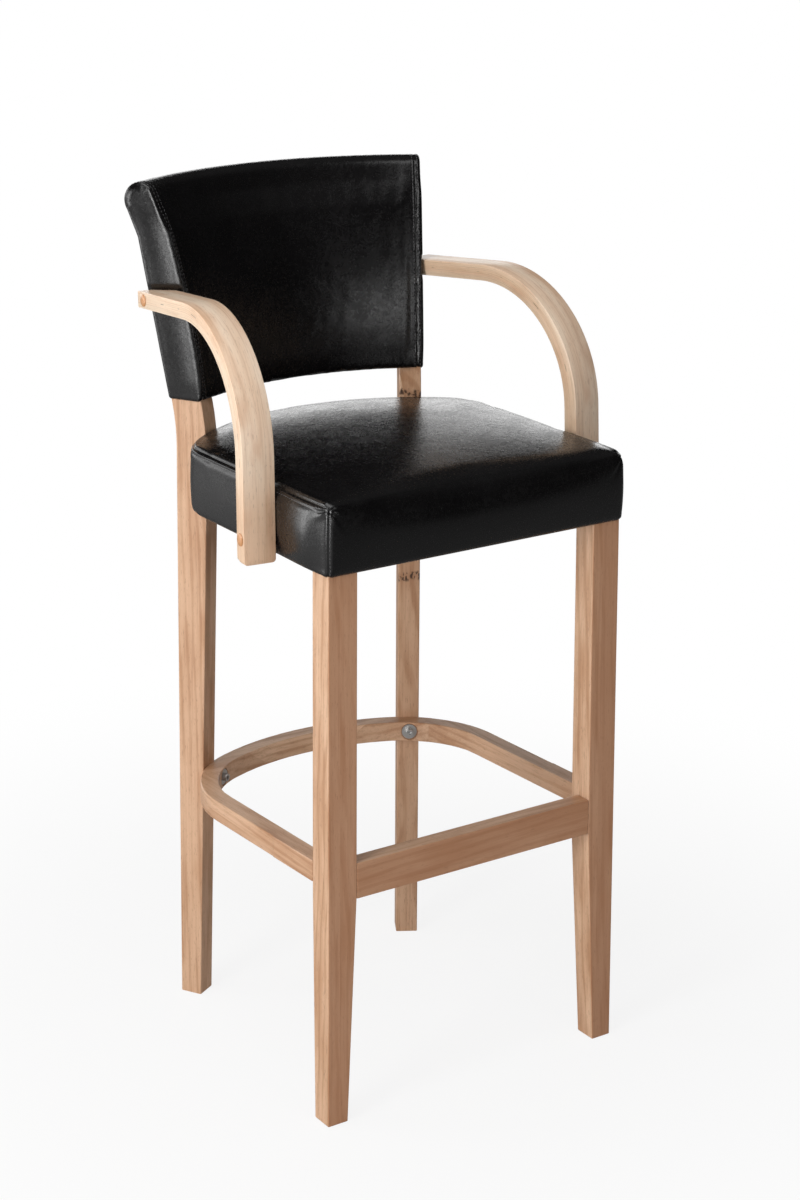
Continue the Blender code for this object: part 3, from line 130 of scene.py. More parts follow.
def cleanUp(obj, mergeDistance=1e-5):
    editMode(obj)
    bpy.ops.mesh.select_all(action="SELECT")
    bpy.ops.mesh.remove_doubles(threshold=mergeDistance)
    bpy.ops.mesh.normals_make_consistent(inside=False)
    objectMode()


def copyOf(obj, name):
    made = obj.copy()
    made.data = obj.data.copy()
    made.name = name
    made.data.name = name
    bpy.context.scene.collection.objects.link(made)
    return made


def mirrored(obj, name):
    made = copyOf(obj, name)
    made.scale.x = -1
    applyPlace(made)
    cleanUp(made)
    return made


def smoothShade(obj, degrees=35):
    selectOnly(obj)
    bpy.ops.object.shade_smooth_by_angle(angle=math.radians(degrees))


def startWire(name, point):
    # a plane drawn together to its middle leaves one selected point, from which a line is extruded
    deselectAll()
    bpy.ops.mesh.primitive_plane_add(size=0.01, location=(0, 0, 0))
    obj = bpy.context.object
    obj.name = name
    obj.data.name = name
    bpy.ops.object.mode_set(mode="EDIT")
    bpy.ops.mesh.select_mode(type="VERT")
    bpy.ops.mesh.select_all(action="SELECT")
    bpy.ops.mesh.merge(type="CENTER")
    bpy.ops.transform.translate(value=point)
    return obj


def lineTo(start, end):
    step = Vector(end) - Vector(start)
    bpy.ops.mesh.extrude_region_move(TRANSFORM_OT_translate={"value": step})


def spinRound(steps, angle, center, axis):
    # the spin operator turns against the right-hand rule, so its angle is turned round here
    bpy.ops.mesh.spin(steps=steps, angle=-angle, center=center, axis=axis)


def pointsOf(obj):
    co = np.empty(len(obj.data.vertices) * 3, np.float64)
    obj.data.vertices.foreach_get("co", co)
    return co.reshape(-1, 3)


def normalsOf(obj):
    normals = np.empty(len(obj.data.vertices) * 3, np.float32)
    obj.data.vertex_normals.foreach_get("vector", normals)
    return normals.reshape(-1, 3).astype(np.float64)


def setPoints(obj, co):
    obj.data.vertices.foreach_set("co", co.astype(np.float32).ravel())
    obj.data.update()


cloth = {"frames": 20, "quality": 4, "mass": 0.4, "stiffness": 20, "bendingStiffness": 1.0}


def puff(obj, held, pressure, limit):
    # a short cloth simulation under inner pressure; no point moves further than the limit
    rest = pointsOf(obj)
    group = obj.vertex_groups.new(name="held")
    group.add([int(i) for i in np.flatnonzero(held)], 1.0, "REPLACE")
    modifier = obj.modifiers.new("cloth", "CLOTH")
    settings = modifier.settings
    settings.quality = cloth["quality"]
    settings.mass = cloth["mass"]
    settings.tension_stiffness = settings.compression_stiffness = cloth["stiffness"]
    settings.bending_stiffness = cloth["bendingStiffness"]
    settings.use_pressure = True
    settings.uniform_pressure_force = pressure
    settings.vertex_group_mass = "held"
    settings.effector_weights.gravity = 0
    modifier.point_cache.frame_start = 1
    modifier.point_cache.frame_end = cloth["frames"]
    for step in range(1, cloth["frames"] + 1):
        bpy.context.scene.frame_set(step)
    evaluated = obj.evaluated_get(bpy.context.evaluated_depsgraph_get())
    moved = pointsOf(evaluated) - rest
    obj.modifiers.remove(modifier)
    obj.vertex_groups.clear()
    bpy.context.scene.frame_set(1)
    length = np.maximum(np.linalg.norm(moved, axis=1), 1e-9)
    capped = limit * np.tanh(length / limit)
    setPoints(obj, rest + moved * (capped / length)[:, None])
    print("puffed", obj.name, round(float(length.max()) * 1000, 1), "mm before the limit")


def refine(obj, wanted):
    # smaller faces where a seam needs them
    editMode(obj)
    selectFaces(obj, lambda face: wanted(face.calc_center_median()))
    bpy.ops.mesh.subdivide(number_cuts=1)
    objectMode()


def smoothStep(value, low, high):
    t = np.clip((value - low) / (high - low), 0, 1)
    return t * t * (3 - 2 * t)


def bell(value, width):
    return np.exp(-(value / width) ** 2)


# Materials: one class wraps a socket, one makes the nodes

class Value:
    def __init__(self, finish, socket):
        self.finish = finish
        self.socket = socket

    def maths(self, operation, *values):
        return self.finish.node("ShaderNodeMath", {"operation": operation}, dict(enumerate(values)))

    def __add__(self, other):
        return self.maths("ADD", self, other)

    def __radd__(self, other):
        return self.maths("ADD", other, self)

    def __sub__(self, other):
        return self.maths("SUBTRACT", self, other)

    def __rsub__(self, other):
        return self.maths("SUBTRACT", other, self)

    def __mul__(self, other):
        return self.maths("MULTIPLY", self, other)

    def __rmul__(self, other):
        return self.maths("MULTIPLY", other, self)

    def __truediv__(self, other):
        return self.maths("DIVIDE", self, other)

    def __neg__(self):
        return self.maths("MULTIPLY", self, -1)

    def __abs__(self):
        return self.maths("ABSOLUTE", self)

    def root(self):
        return self.maths("SQRT", self)

    def floor(self):
        return self.maths("FLOOR", self)

    def sine(self):
        return self.maths("SINE", self)

    def atLeast(self, other):
        return self.maths("MAXIMUM", self, other)

    def atMost(self, other):
        return self.maths("MINIMUM", self, other)


class Finish:
    def __init__(self, name, world=None):
        self.material = world or bpy.data.materials.new(name)
        self.material.use_nodes = True
        self.tree = self.material.node_tree
        self.shader = self.tree.nodes["Background" if world else "Principled BSDF"]

    def node(self, kind, settings=None, sockets=None, output=0):
        made = self.tree.nodes.new(kind)
        for key, value in (settings or {}).items():
            setattr(made, key, value)
        for key, value in (sockets or {}).items():
            self.feed(made.inputs[key], value)
        return Value(self, made.outputs[output])

    def feed(self, socket, value):
        if isinstance(value, Value):
            self.tree.links.new(value.socket, socket)
        else:
            socket.default_value = value

    def set(self, **sockets):
        for key, value in sockets.items():
            self.feed(self.shader.inputs[key.replace("_", " ")], value)

    def place(self):
        return self.node("ShaderNodeTexCoord", output="Object")

    def parts(self, vector):
        made = self.node("ShaderNodeSeparateXYZ", None, {0: vector})
        outputs = made.socket.node.outputs
        return [Value(self, outputs[i]) for i in range(3)]

    def joined(self, x, y, z):
        return self.node("ShaderNodeCombineXYZ", None, {0: x, 1: y, 2: z})

    def noise(self, vector, scale, detail=2.0, roughness=0.5):
        sockets = {"Vector": vector, "Scale": scale, "Detail": detail, "Roughness": roughness}
        return self.node("ShaderNodeTexNoise", None, sockets)

    def whiteNoise(self, value):
        return self.node("ShaderNodeTexWhiteNoise", {"noise_dimensions": "1D"}, {"W": value})

    def ramp(self, value, low, high, start=0.0, end=1.0):
        settings = {"interpolation_type": "SMOOTHSTEP"}
        return self.node("ShaderNodeMapRange", settings, {0: value, 1: low, 2: high, 3: start, 4: end})

    def mix(self, factor, first, second):
        sockets = {0: factor, 6: first, 7: second}
        return self.node("ShaderNodeMix", {"data_type": "RGBA"}, sockets, output=2)

    def bump(self, height, strength, distance, normal=None):
        sockets = {"Height": height, "Strength": strength, "Distance": distance}
        if normal is not None:
            sockets["Normal"] = normal
        return self.node("ShaderNodeBump", None, sockets)


def rgb(red, green, blue):
    return (red, green, blue, 1.0)


wood = {
    "pale": rgb(0.74, 0.485, 0.315),
    "tan": rgb(0.52, 0.285, 0.155),
    "brown": rgb(0.345, 0.155, 0.072),
    "pore": rgb(0.17, 0.075, 0.035),
    "knot": rgb(0.035, 0.016, 0.010),
    # painted shade: this red goes on the front faces of the legs and the stretcher, which face away from the
    # lamps
    "red": rgb(0.52, 0.220, 0.100),
    "frontShadeDepth": 0.0008,      # how deep the painted shade on the front of a leg or the stretcher goes
    "frontShadeShare": 0.55,
    "boardShare": 0.26,
    "ringPitch": 0.0105,
    "ringShare": 0.16,
    "pithTilt": 0.050,
    "pithDepth": 0.050,
    "bendScale": 13.0,
    "cloudScale": 34.0,
    "fibreScale": 380.0,
    "fibreShare": 0.48,
    "poreScale": 950.0,
    "poreShare": 0.45,
    "roughness": (0.34, 0.50),
    "coat": 0.14,
    "coatRoughness": 0.20,
    "relief": (0.22, 0.0004),
    "knots": ((0.905, 0.006, 0.4), (0.451, 0.008, -0.3)),      # height on the axis, size, slant
    "knotDepth": (0.008, 0.006),
    "knotShare": 0.9,
    "knotHalo": 0.35,
    "streakScale": 90.0,
    "speckScale": 260.0,
}


def woodFinish(name, grain, boardWidth=0.034, seed=0.0, frontY=None, knots=()):
    # rubberwood glued up from narrow boards, under a clear satin lacquer; given frontY, its front face gets
    # painted shade
    made = Finish(name)
    x, y, z = made.parts(made.place())
    first, second, along = {"X": (y, z, x), "Y": (x, z, y), "Z": (x, y, z)}[grain]
    board = ((first * 0.94 + second * 0.35 + seed) / boardWidth).floor()
    boardTone = made.whiteNoise(board + seed * 91)
    shift = boardTone * 3.7
    slow = made.joined(first + shift, second - shift, along * 0.20)
    fine = made.joined(first + shift, second, along * 0.020)
    dashes = made.joined(first - shift, second, along * 0.10)
    bend = made.noise(slow, wood["bendScale"], 3.0)
    cloud = made.noise(slow, wood["cloudScale"], 3.0, 0.55)
    pithX = first + boardTone * 0.06 - 0.02 + along * wood["pithTilt"] + bend * 0.050
    pithY = second + wood["pithDepth"] - boardTone * 0.02 + bend * 0.012
    turns = (pithX * pithX + pithY * pithY).root() * (math.tau / wood["ringPitch"])
    late = made.ramp((turns + cloud * 4.0).sine(), 0.1, 1.0)
    fibres = made.noise(fine, wood["fibreScale"], 5.0, 0.66)
    pores = made.ramp(made.noise(dashes, wood["poreScale"], 2.0, 0.6), 0.60, 0.70)
    colour = made.mix(made.ramp(cloud * 0.9 + late * 0.12, 0.32, 0.72), wood["pale"], wood["tan"])
    rings = late * made.ramp(cloud, 0.30, 0.70) * wood["ringShare"]
    colour = made.mix(rings, colour, wood["brown"])
    colour = made.mix(made.ramp(fibres, 0.46, 0.76) * wood["fibreShare"], colour, wood["brown"])
    colour = made.mix(pores * wood["poreShare"], colour, wood["pore"])
    colour = made.mix(made.ramp(boardTone, 0.1, 0.9) * wood["boardShare"], colour, wood["brown"])
    if knots:
        deep = y - back["axisY"]
        depths = [back["postFront"] + depth for depth in wood["knotDepth"]]
        postFace = made.ramp((x * x + deep * deep).root(), *depths)
    for height, size, slant in knots:
        streak = made.noise(made.joined(first * 3, second * 3, along), wood["streakScale"], 3.0)
        off = abs((along - height) + (first + second) * slant)
        spot = postFace * made.ramp(off + (streak - 0.5) * size * 1.6, size, size * 0.3)
        speckNoise = made.noise(made.joined(first, second, along * 0.5), wood["speckScale"], 2.0)
        speck = made.ramp(speckNoise, 0.46, 0.56)
        colour = made.mix(spot * wood["knotHalo"], colour, wood["brown"])
        colour = made.mix(spot * speck * wood["knotShare"], colour, wood["knot"])
    # painted shade: the front face of a leg or the stretcher is coloured redder and darker, as a face turned
    # from the lamps looks
    if frontY is not None:
        front = made.ramp(y, frontY + wood["frontShadeDepth"], frontY + wood["frontShadeDepth"] * 0.5)
        colour = made.mix(front * wood["frontShadeShare"], colour, wood["red"])
    made.set(Base_Color=colour, Roughness=made.ramp(fibres, 0.3, 0.8, *wood["roughness"]))
    made.set(Coat_Weight=wood["coat"], Coat_Roughness=wood["coatRoughness"])
    made.set(Normal=made.bump(fibres * 0.6 - pores * 0.6, *wood["relief"]))
    return made.material


# The arms' own shape, used for their mesh and for the run of their plies

arm = {
    "innerX": 0.2305,
    "frontY": -0.1666,
    "toeIn": math.radians(7),
    "width": 0.042,
    "thickness": 0.0215,
    "radius": 0.170,
    "centreY": 0.174,
    "centreZ": 0.817,
    "uprightLean": math.radians(1.9),
    "topFall": math.radians(5.2),
    "rearY": 0.339,
    "lowZ": 0.697,
    "edge": 0.0022,
    "footRear": 0.008,
    "footSide": 0.0045,
    "footSteps": 0.003,      # the foot's bevels take the edges this close to its end
    "postGap": 0.0009,
    "steps": 40,
    "plies": 9,
}


def alongArm(x, y):
    # how far a place lies along an arm from its front, and across it from its inner face;
    # takes numbers, arrays and sockets
    turn = arm["toeIn"]
    outX, outY = abs(x) - arm["innerX"], y - arm["frontY"]
    return outY * math.cos(turn) - outX * math.sin(turn), outX * math.cos(turn) + outY * math.sin(turn)


ply = {
    "pale": rgb(0.96, 0.785, 0.615),
    "tan": rgb(0.81, 0.55, 0.37),
    # painted shade: the arm's upright faces the front, away from the lamps, and is coloured darker and more
    # orange
    "foot": rgb(0.70, 0.425, 0.255),
    "patch": rgb(0.66, 0.37, 0.215),
    "fibre": rgb(0.50, 0.28, 0.145),
    "pore": rgb(0.30, 0.15, 0.08),
    "layer": rgb(0.50, 0.36, 0.20),
    "glue": rgb(0.22, 0.13, 0.06),
    "gap": rgb(0.05, 0.03, 0.015),
    "gapPly": 5.0,             # the glue line that has open gaps
    "bendRadius": 0.16,        # turns the bend's angle into a length
    "broadScale": 40.0,
    "patchScale": 42.0,
    "fibreScale": 480.0,
    "poreScale": 950.0,
    "wanderScale": 16.0,
    "gapScale": 55.0,
    "roughness": (0.36, 0.50),
    "coat": 0.14,
    "coatRoughness": 0.22,
    "relief": (0.25, 0.0004),
}


def plyFinish(name):
    # bent plywood: layers follow the arm round, their dark glue lines show on its sides, and the upright
    # carries painted shade
    made = Finish(name)
    x, y, z = made.parts(made.place())
    along, out = alongArm(x, y)
    along = along - arm["centreY"]
    up = z - arm["centreZ"]
    lean, fall = arm["uprightLean"], arm["topFall"]
    down = (along * -math.sin(lean) - up * math.cos(lean)).atLeast(0.0)
    rear = (along * math.cos(fall) - up * math.sin(fall)).atLeast(0.0)
    radius = (along * along + up * up - down * down - rear * rear).root()
    angle = up.maths("ARCTAN2", up, -along).atLeast(math.radians(-1)).atMost(math.radians(95))
    run = angle * ply["bendRadius"] + rear - down
    layer = (radius - (arm["radius"] - arm["thickness"])) * (arm["plies"] / arm["thickness"])
    tone = made.whiteNoise(layer.floor() + 0.5)
    nearest = layer.maths("ROUND", layer)
    offLine = abs(layer - nearest)
    inside = made.ramp(nearest, 0.4, 0.6) * made.ramp(nearest, arm["plies"] - 0.4, arm["plies"] - 0.6)
    wander = made.noise(made.joined(run, out, nearest), ply["wanderScale"], 2.0)
    glue = made.ramp(offLine, 0.10, 0.03) * inside * made.ramp(wander, 0.35, 0.65)
    gaps = made.ramp(made.noise(made.joined(run, out, radius * 0.2), ply["gapScale"], 1.0), 0.60, 0.66)
    gaps = made.ramp(offLine, 0.22, 0.10) * made.ramp(abs(nearest - ply["gapPly"]), 0.6, 0.4) * gaps
    broad = made.noise(made.joined(out, radius, run * 0.08), ply["broadScale"], 3.0)
    patches = made.noise(made.joined(out, radius, run * 0.35), ply["patchScale"], 3.0, 0.6)
    fibres = made.noise(made.joined(out, radius, run * 0.020), ply["fibreScale"], 4.0, 0.6)
    pores = made.noise(made.joined(out, radius, run * 0.10), ply["poreScale"], 2.0, 0.6)
    pores = made.ramp(pores, 0.60, 0.70)
    colour = made.mix(made.ramp(broad, 0.3, 0.75), ply["pale"], ply["tan"])
    # painted shade, growing down the upright below the bend
    colour = made.mix(made.ramp(down, -0.02, 0.08) * 0.55, colour, ply["foot"])
    colour = made.mix(made.ramp(patches, 0.48, 0.72) * 0.45, colour, ply["patch"])
    colour = made.mix(made.ramp(fibres, 0.45, 0.76) * 0.42, colour, ply["fibre"])
    colour = made.mix(pores * 0.32, colour, ply["pore"])
    colour = made.mix(tone * inside * 0.20, colour, ply["layer"])
    colour = made.mix(glue * 0.60, colour, ply["glue"])
    colour = made.mix(gaps * 0.85, colour, ply["gap"])
    made.set(Base_Color=colour, Roughness=made.ramp(fibres, 0.3, 0.8, *ply["roughness"]))
    made.set(Coat_Weight=ply["coat"], Coat_Roughness=ply["coatRoughness"])
    made.set(Normal=made.bump(fibres * 0.5 - pores * 0.3 - glue * 0.5 - gaps, *ply["relief"]))
    return made.material


leather = {
    "dark": rgb(0.0020, 0.0017, 0.0019),
    "cloudy": rgb(0.0042, 0.0036, 0.0039),
    "crease": rgb(0.0070, 0.0060, 0.0060),
    "seam": rgb(0.0015, 0.0014, 0.0014),
    "seamWidth": (0.0010, 0.0003),
    "wander": 0.010,
    "wanderScale": 40.0,
    "crackleScale": 620.0,
    "creaseScale": 210.0,
    "pulledScale": 95.0,
    "softScale": 26.0,
    "cloudScale": 9.0,
    "roughness": (0.20, 0.34),
    "coat": 0.08,
    "coatRoughness": 0.22,
    "crackleRelief": (0.15, 0.00020),
    "creaseRelief": (0.22, 0.0008),
}


def seatSeams(made, x, y, z):
    # along the sides and round the rear below the top, then down the two front corners
    inwards = seat["halfWidth"] - abs(x)
    behind = y - seat["frontY"]
    side = made.ramp(abs(z - seat["seamZ"]), *leather["seamWidth"]) * made.ramp(behind, 0.004, 0.010)
    edge = made.ramp(abs(inwards - behind), 0.0011, 0.0004) * made.ramp(inwards + behind, 0.026, 0.016)
    return side.atLeast(edge * made.ramp(z, seat["seamZ"] + 0.001, seat["seamZ"] - 0.003))


def backrestSeams(made, x, y, z):
    return made.ramp(abs(outFromPost(x, y) - backrest["seamOut"]), *leather["seamWidth"])


def leatherFinish(name, seams):
    # glossy black faux leather: a fine crackle, soft creases where it is stretched, dark seams
    made = Finish(name)
    place = made.place()
    x, y, z = made.parts(place)
    wander = made.noise(place, leather["wanderScale"], 2.0)
    shifted = made.node(
        "ShaderNodeVectorMath", {"operation": "MULTIPLY_ADD"},
        {0: made.joined(wander, wander, wander), 1: (leather["wander"],) * 3, 2: place},
    )
    cells = made.node(
        "ShaderNodeTexVoronoi", {"feature": "DISTANCE_TO_EDGE"},
        {"Vector": shifted, "Scale": leather["crackleScale"]},
    )
    crackle = made.ramp(cells, 0.0, 0.22)
    creases = made.noise(shifted, leather["creaseScale"], 4.0, 0.60)
    pulled = made.noise(made.joined(x, y, z * 0.22), leather["pulledScale"], 3.0, 0.55)
    soft = made.noise(place, leather["softScale"], 3.0)
    cloud = made.noise(place, leather["cloudScale"], 3.0)
    seam = seams(made, x, y, z)
    colour = made.mix(made.ramp(cloud, 0.3, 0.8), leather["dark"], leather["cloudy"])
    colour = made.mix(made.ramp(creases, 0.50, 0.75) * 0.35, colour, leather["crease"])
    colour = made.mix(seam * 0.9, colour, leather["seam"])
    made.set(Base_Color=colour)
    made.set(Roughness=made.ramp(creases * 0.6 + soft * 0.4, 0.30, 0.72, *leather["roughness"]))
    made.set(Coat_Weight=leather["coat"], Coat_Roughness=leather["coatRoughness"])
    fine = made.bump(crackle - seam * 2.0, *leather["crackleRelief"])
    made.set(Normal=made.bump(creases * 0.7 + soft * 1.6 + pulled * 0.7, *leather["creaseRelief"], fine))
    return made.material


def metalFinish(name, colour, roughness):
    made = Finish(name)
    place = made.place()
    grain = made.noise(place, 900.0, 3.0)
    patch = made.noise(place, 120.0, 2.0)
    made.set(Base_Color=made.mix(patch, rgb(*colour), rgb(*[part * 0.86 for part in colour])))
    worn = made.ramp(grain * 0.5 + patch * 0.5, 0.3, 0.7, roughness, roughness + 0.12)
    made.set(Metallic=1.0, Roughness=worn, Normal=made.bump(grain, 0.08, 0.0001))
    return made.material


def plainFinish(name, colours, scale, detail, stretch, roughness, relief, coat=0.0):
    # one noise, drawn out along the grain, mixes two colours and gives the relief
    made = Finish(name)
    parts = made.parts(made.place())
    grain = made.noise(made.joined(*[part * by for part, by in zip(parts, stretch)]), scale, detail)
    made.set(Base_Color=made.mix(grain, rgb(*colours[0]), rgb(*colours[1])), Roughness=roughness)
    made.set(Coat_Weight=coat, Coat_Roughness=0.15, Normal=made.bump(grain, *relief))
    return made.material


def hiddenWoodFinish(name, pale, dark, scale=240.0):
    # unlacquered wood and board inside the frame
    return plainFinish(name, (pale, dark), scale, 4.0, (0.05, 1, 1), 0.7, (0.2, 0.0003))


def dustClothFinish(name):
    # black non-woven cloth under the seat, with its pressed grid of dots
    made = Finish(name)
    place = made.place()
    cells = made.node("ShaderNodeTexVoronoi", {"feature": "F1"}, {"Vector": place, "Scale": 520.0})
    fibres = made.noise(place, 1800.0, 3.0)
    colour = made.mix(fibres, rgb(0.018, 0.018, 0.019), rgb(0.050, 0.050, 0.052))
    made.set(Base_Color=colour, Roughness=0.85, Normal=made.bump(cells * 0.5 + fibres * 0.5, 0.4, 0.0003))
    return made.material


# the legs and the stretcher carry painted shade on their front faces
legWood = woodFinish("leg_rubberwood", "Z", seed=0.013, frontY=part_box("front_leg_left")[0].y)
postWood = woodFinish("post_rubberwood", "Z", boardWidth=0.030, seed=0.021)
knottyWood = woodFinish(
    "knotty_rubberwood", "Z", boardWidth=0.030, seed=0.027, knots=wood["knots"]
)
crossWood = woodFinish(
    "stretcher_rubberwood", "X", boardWidth=0.031, seed=0.0055, frontY=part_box("front_stretcher")[0].y
)
ringWood = woodFinish("footrest_rubberwood", "X", boardWidth=0.040, seed=0.007)
ringSideWood = woodFinish("footrest_side_rubberwood", "Y", boardWidth=0.040, seed=0.017)
armPly = plyFinish("arm_plywood")
# the black thread is coloured grey: painted highlight for the light its gloss catches along the seams
threadWithPaintedHighlight = plainFinish(
    "black_thread_painted_highlight", ((0.055, 0.052, 0.054), (0.13, 0.125, 0.128)), scale=2600.0, detail=2.0,
    stretch=(1, 1, 1), roughness=0.42, relief=(0.3, 0.0002),
)
zinc = metalFinish("zinc_plated_steel", (0.80, 0.80, 0.79), 0.40)
plugWood = plainFinish(
    "plug_wood", ((0.66, 0.33, 0.14), (0.44, 0.19, 0.07)), scale=700.0, detail=3.0,
    stretch=(1, 1, 0.06), roughness=0.3, relief=(0.1, 0.0002), coat=0.4,
)
frameWood = hiddenWoodFinish("frame_pine", (0.62, 0.44, 0.26), (0.48, 0.30, 0.15))
boardPly = hiddenWoodFinish("seat_board_plywood", (0.66, 0.50, 0.32), (0.50, 0.35, 0.20))
dowelWood = hiddenWoodFinish("dowel_beech", (0.62, 0.44, 0.28), (0.50, 0.33, 0.19), 420.0)
foamStuff = plainFinish(
    "cushion_foam", ((0.72, 0.68, 0.52), (0.56, 0.51, 0.36)), scale=1500.0, detail=2.0,
    stretch=(1, 1, 1), roughness=0.9, relief=(0.4, 0.0004),
)
dustStuff = dustClothFinish("dust_cloth")

finishBySlot = {
    "rubberwood": legWood,
    "bent_plywood": armPly,
    "plug_wood": plugWood,
    "hidden_wood": frameWood,
    "plywood_board": boardPly,
    "dowel_wood": dowelWood,
    "zinc_steel": zinc,
    "black_faux_leather": threadWithPaintedHighlight,      # both covers are made anew below, with a finish each
    "foam": foamStuff,
    "dust_cloth": dustStuff,
}
finishByNode = {
    "rear_post_right": knottyWood,
    "rear_post_left": postWood,
    "front_stretcher": crossWood,
    "footrest_rear": ringWood,
}
for word in ("right", "left"):
    finishByNode["footrest_arm_" + word] = ringSideWood
    finishByNode["footrest_bend_" + word] = ringSideWood


def dressFrame():
    for entry in frame["record"]["subparts"]:
        node = entry["node"]
        obj = nodes[node]
        obj.data.materials.clear()
        obj.data.materials.append(finishByNode.get(node, finishBySlot[entry["material_slot"]]))
    print("dressed", len(nodes), "nodes")


dressFrame()


# Arms

def makeArm():
    lean, fall = arm["uprightLean"], arm["topFall"]
    upright = Vector((0, math.sin(lean), math.cos(lean)))
    frontward = Vector((0, -math.cos(lean), math.sin(lean)))
    centre = Vector((arm["width"] / 2, arm["centreY"], arm["centreZ"]))
    bendStart = centre + frontward * (arm["radius"] - arm["thickness"] / 2)
    length = (bendStart.z - arm["lowZ"]) / upright.z
    deselectAll()
    bpy.ops.mesh.primitive_plane_add(size=1, location=bendStart - upright * length)
    obj = bpy.context.object
    obj.name = "arm_right_bent"
    obj.rotation_euler = (-lean, 0, 0)
    obj.scale = (arm["width"], arm["thickness"], 1)
    applyPlace(obj)
    editMode(obj)
    bpy.ops.mesh.select_all(action="SELECT")
    bpy.ops.mesh.extrude_region_move(TRANSFORM_OT_translate={"value": upright * length})
    turn = math.radians(180) - lean - (math.radians(90) - fall)
    spinRound(steps=arm["steps"], angle=turn, center=centre, axis=(-1, 0, 0))
    rearward = Vector((0, math.cos(fall), -math.sin(fall)))
    bendEnd = centre + Vector((0, math.sin(fall), math.cos(fall))) * (arm["radius"] - arm["thickness"] / 2)
    step = (arm["rearY"] - bendEnd.y) / rearward.y
    bpy.ops.mesh.extrude_region_move(TRANSFORM_OT_translate={"value": rearward * step})
    objectMode()
    cleanUp(obj)
    lowEnd = arm["lowZ"] + arm["footSteps"]
    editMode(obj)
    rearFoot = pointsOf(obj)[pointsOf(obj)[:, 2] < lowEnd][:, 1].max() - 0.001
    selectEdges(obj, lambda a, b: max(a.z, b.z) < lowEnd and min(a.y, b.y) > rearFoot)
    bpy.ops.mesh.bevel(offset=arm["footRear"], segments=5, profile=0.5)
    selectEdges(obj, lambda a, b: max(a.z, b.z) < lowEnd + 0.001 and abs(a.x - b.x) < 1e-5)
    bpy.ops.mesh.bevel(offset=arm["footSide"], segments=4, profile=0.5)
    objectMode()
    obj.rotation_euler = (0, 0, arm["toeIn"])
    obj.location = (arm["innerX"], arm["frontY"], 0)
    applyPlace(obj)
    editMode(obj)
    bpy.ops.mesh.select_all(action="SELECT")
    cutAt = backAxis + postAcross * (back["postHalf"] + arm["postGap"])
    bpy.ops.mesh.bisect(plane_co=cutAt, plane_no=postAcross, use_fill=True, clear_inner=True)
    objectMode()
    cleanUp(obj)
    applyModifier(obj, "BEVEL", "edges", width=arm["edge"], segments=3, limit_method="ANGLE",
                  angle_limit=math.radians(40), harden_normals=False)
    smoothShade(obj)
    obj.data.materials.append(armPly)
    return obj


rightArm = makeArm()
leftArm = mirrored(rightArm, "arm_left_bent")
smoothShade(leftArm)
for piece, word in ((rightArm, "right"), (leftArm, "left")):
    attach(piece, "root")
    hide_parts("arm_" + word)
print("arms made")


# Seat cover

seatLow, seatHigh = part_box("seat_cover")
seat = {
    "halfWidth": seatHigh.x - 0.0018,
    "frontY": seatLow.y + 0.0018,
    "lowZ": seatLow.z,
    "rimZ": 0.7925,
    "rearRadius": 0.314,
    "rearCorner": 0.0605,
    "frontCorner": 0.006,
    "frontRounding": 0.032,
    "topRounding": 0.0065,
    "hemRounding": 0.003,
    "crownFrom": 0.035,            # below the rim, where the crown begins
    "crownWhole": 0.004,
    "crown": 0.0115,
    "crownPower": 2.6,
    "bulge": 0.0024,
    "lip": 0.018,
    "hemReturn": 0.004,
    "voxel": 0.005,
    "puffPressure": 0.5,
    "puffLimit": 0.0022,
    "seamZ": 0.7885,
    "stitchZ": 0.7832,
    "stitchSink": 0.0004,
    "stitchWidth": 0.0018,
    "stitchStart": ((0.010, 0.004), (0.030, 0.001), (0.055, 0.0)),      # back from the front, and up
    "cornerStitchIn": 0.0022,
    "rolls": (                     # along the seam: height over it, width, and how far it stands out
        (0.0, 0.0016, -0.0014),
        (0.0035, 0.0024, 0.0014),
        (-0.0030, 0.0022, 0.0012),
        (-0.0100, 0.0060, 0.0009),
    ),
    "seamSide": (0.006, 0.012),    # the seam keeps this near the sides and the rear
    "seamStart": (0.006, 0.014),   # and begins this far behind the front
    "edgeSink": 0.0006,            # the seam down a front corner, and the leather on both sides of it
    "edgeWidth": 0.0014,
    "edgeReach": (0.030, 0.015),
    "edgeTop": (-0.008, 0.002),
    "edgeSwell": 0.0005,
    "swellAside": 0.004,
    "swellWidth": 0.003,
    "cornerSink": 0.0022,
    "cornerWidth": 0.009,
    "cornerDrawn": 0.0022,
    "drawnReach": 0.058,
    "cornerSwell": 0.0062,
    "swellRise": (0.002, 0.046),
    "swellFall": (0.052, 0.125),
    "swellSide": (0.004, 0.030),
    "gatherReach": 0.046,
    "gatherDepth": 0.0006,
    "gatherFolds": (9, 17),
}


def rearEdge(x):
    return back["axisY"] + np.sqrt(seat["rearRadius"]**2 - np.clip(np.abs(x), 0, seat["halfWidth"])**2)


def seatOffsets(x, y):
    # how far a place lies inwards from the seat's side, back from its front and in from its rear
    rear = seat["rearRadius"] - np.hypot(x, y - back["axisY"])
    return seat["halfWidth"] - abs(x), y - seat["frontY"], rear


def rearCornerArc():
    # the middle of a rear corner's arc, and the turn at which it meets the rear edge
    x = seat["halfWidth"] - seat["rearCorner"]
    y = back["axisY"] + math.sqrt((seat["rearRadius"] - seat["rearCorner"]) ** 2 - x**2)
    return x, y, math.atan2(x, y - back["axisY"])


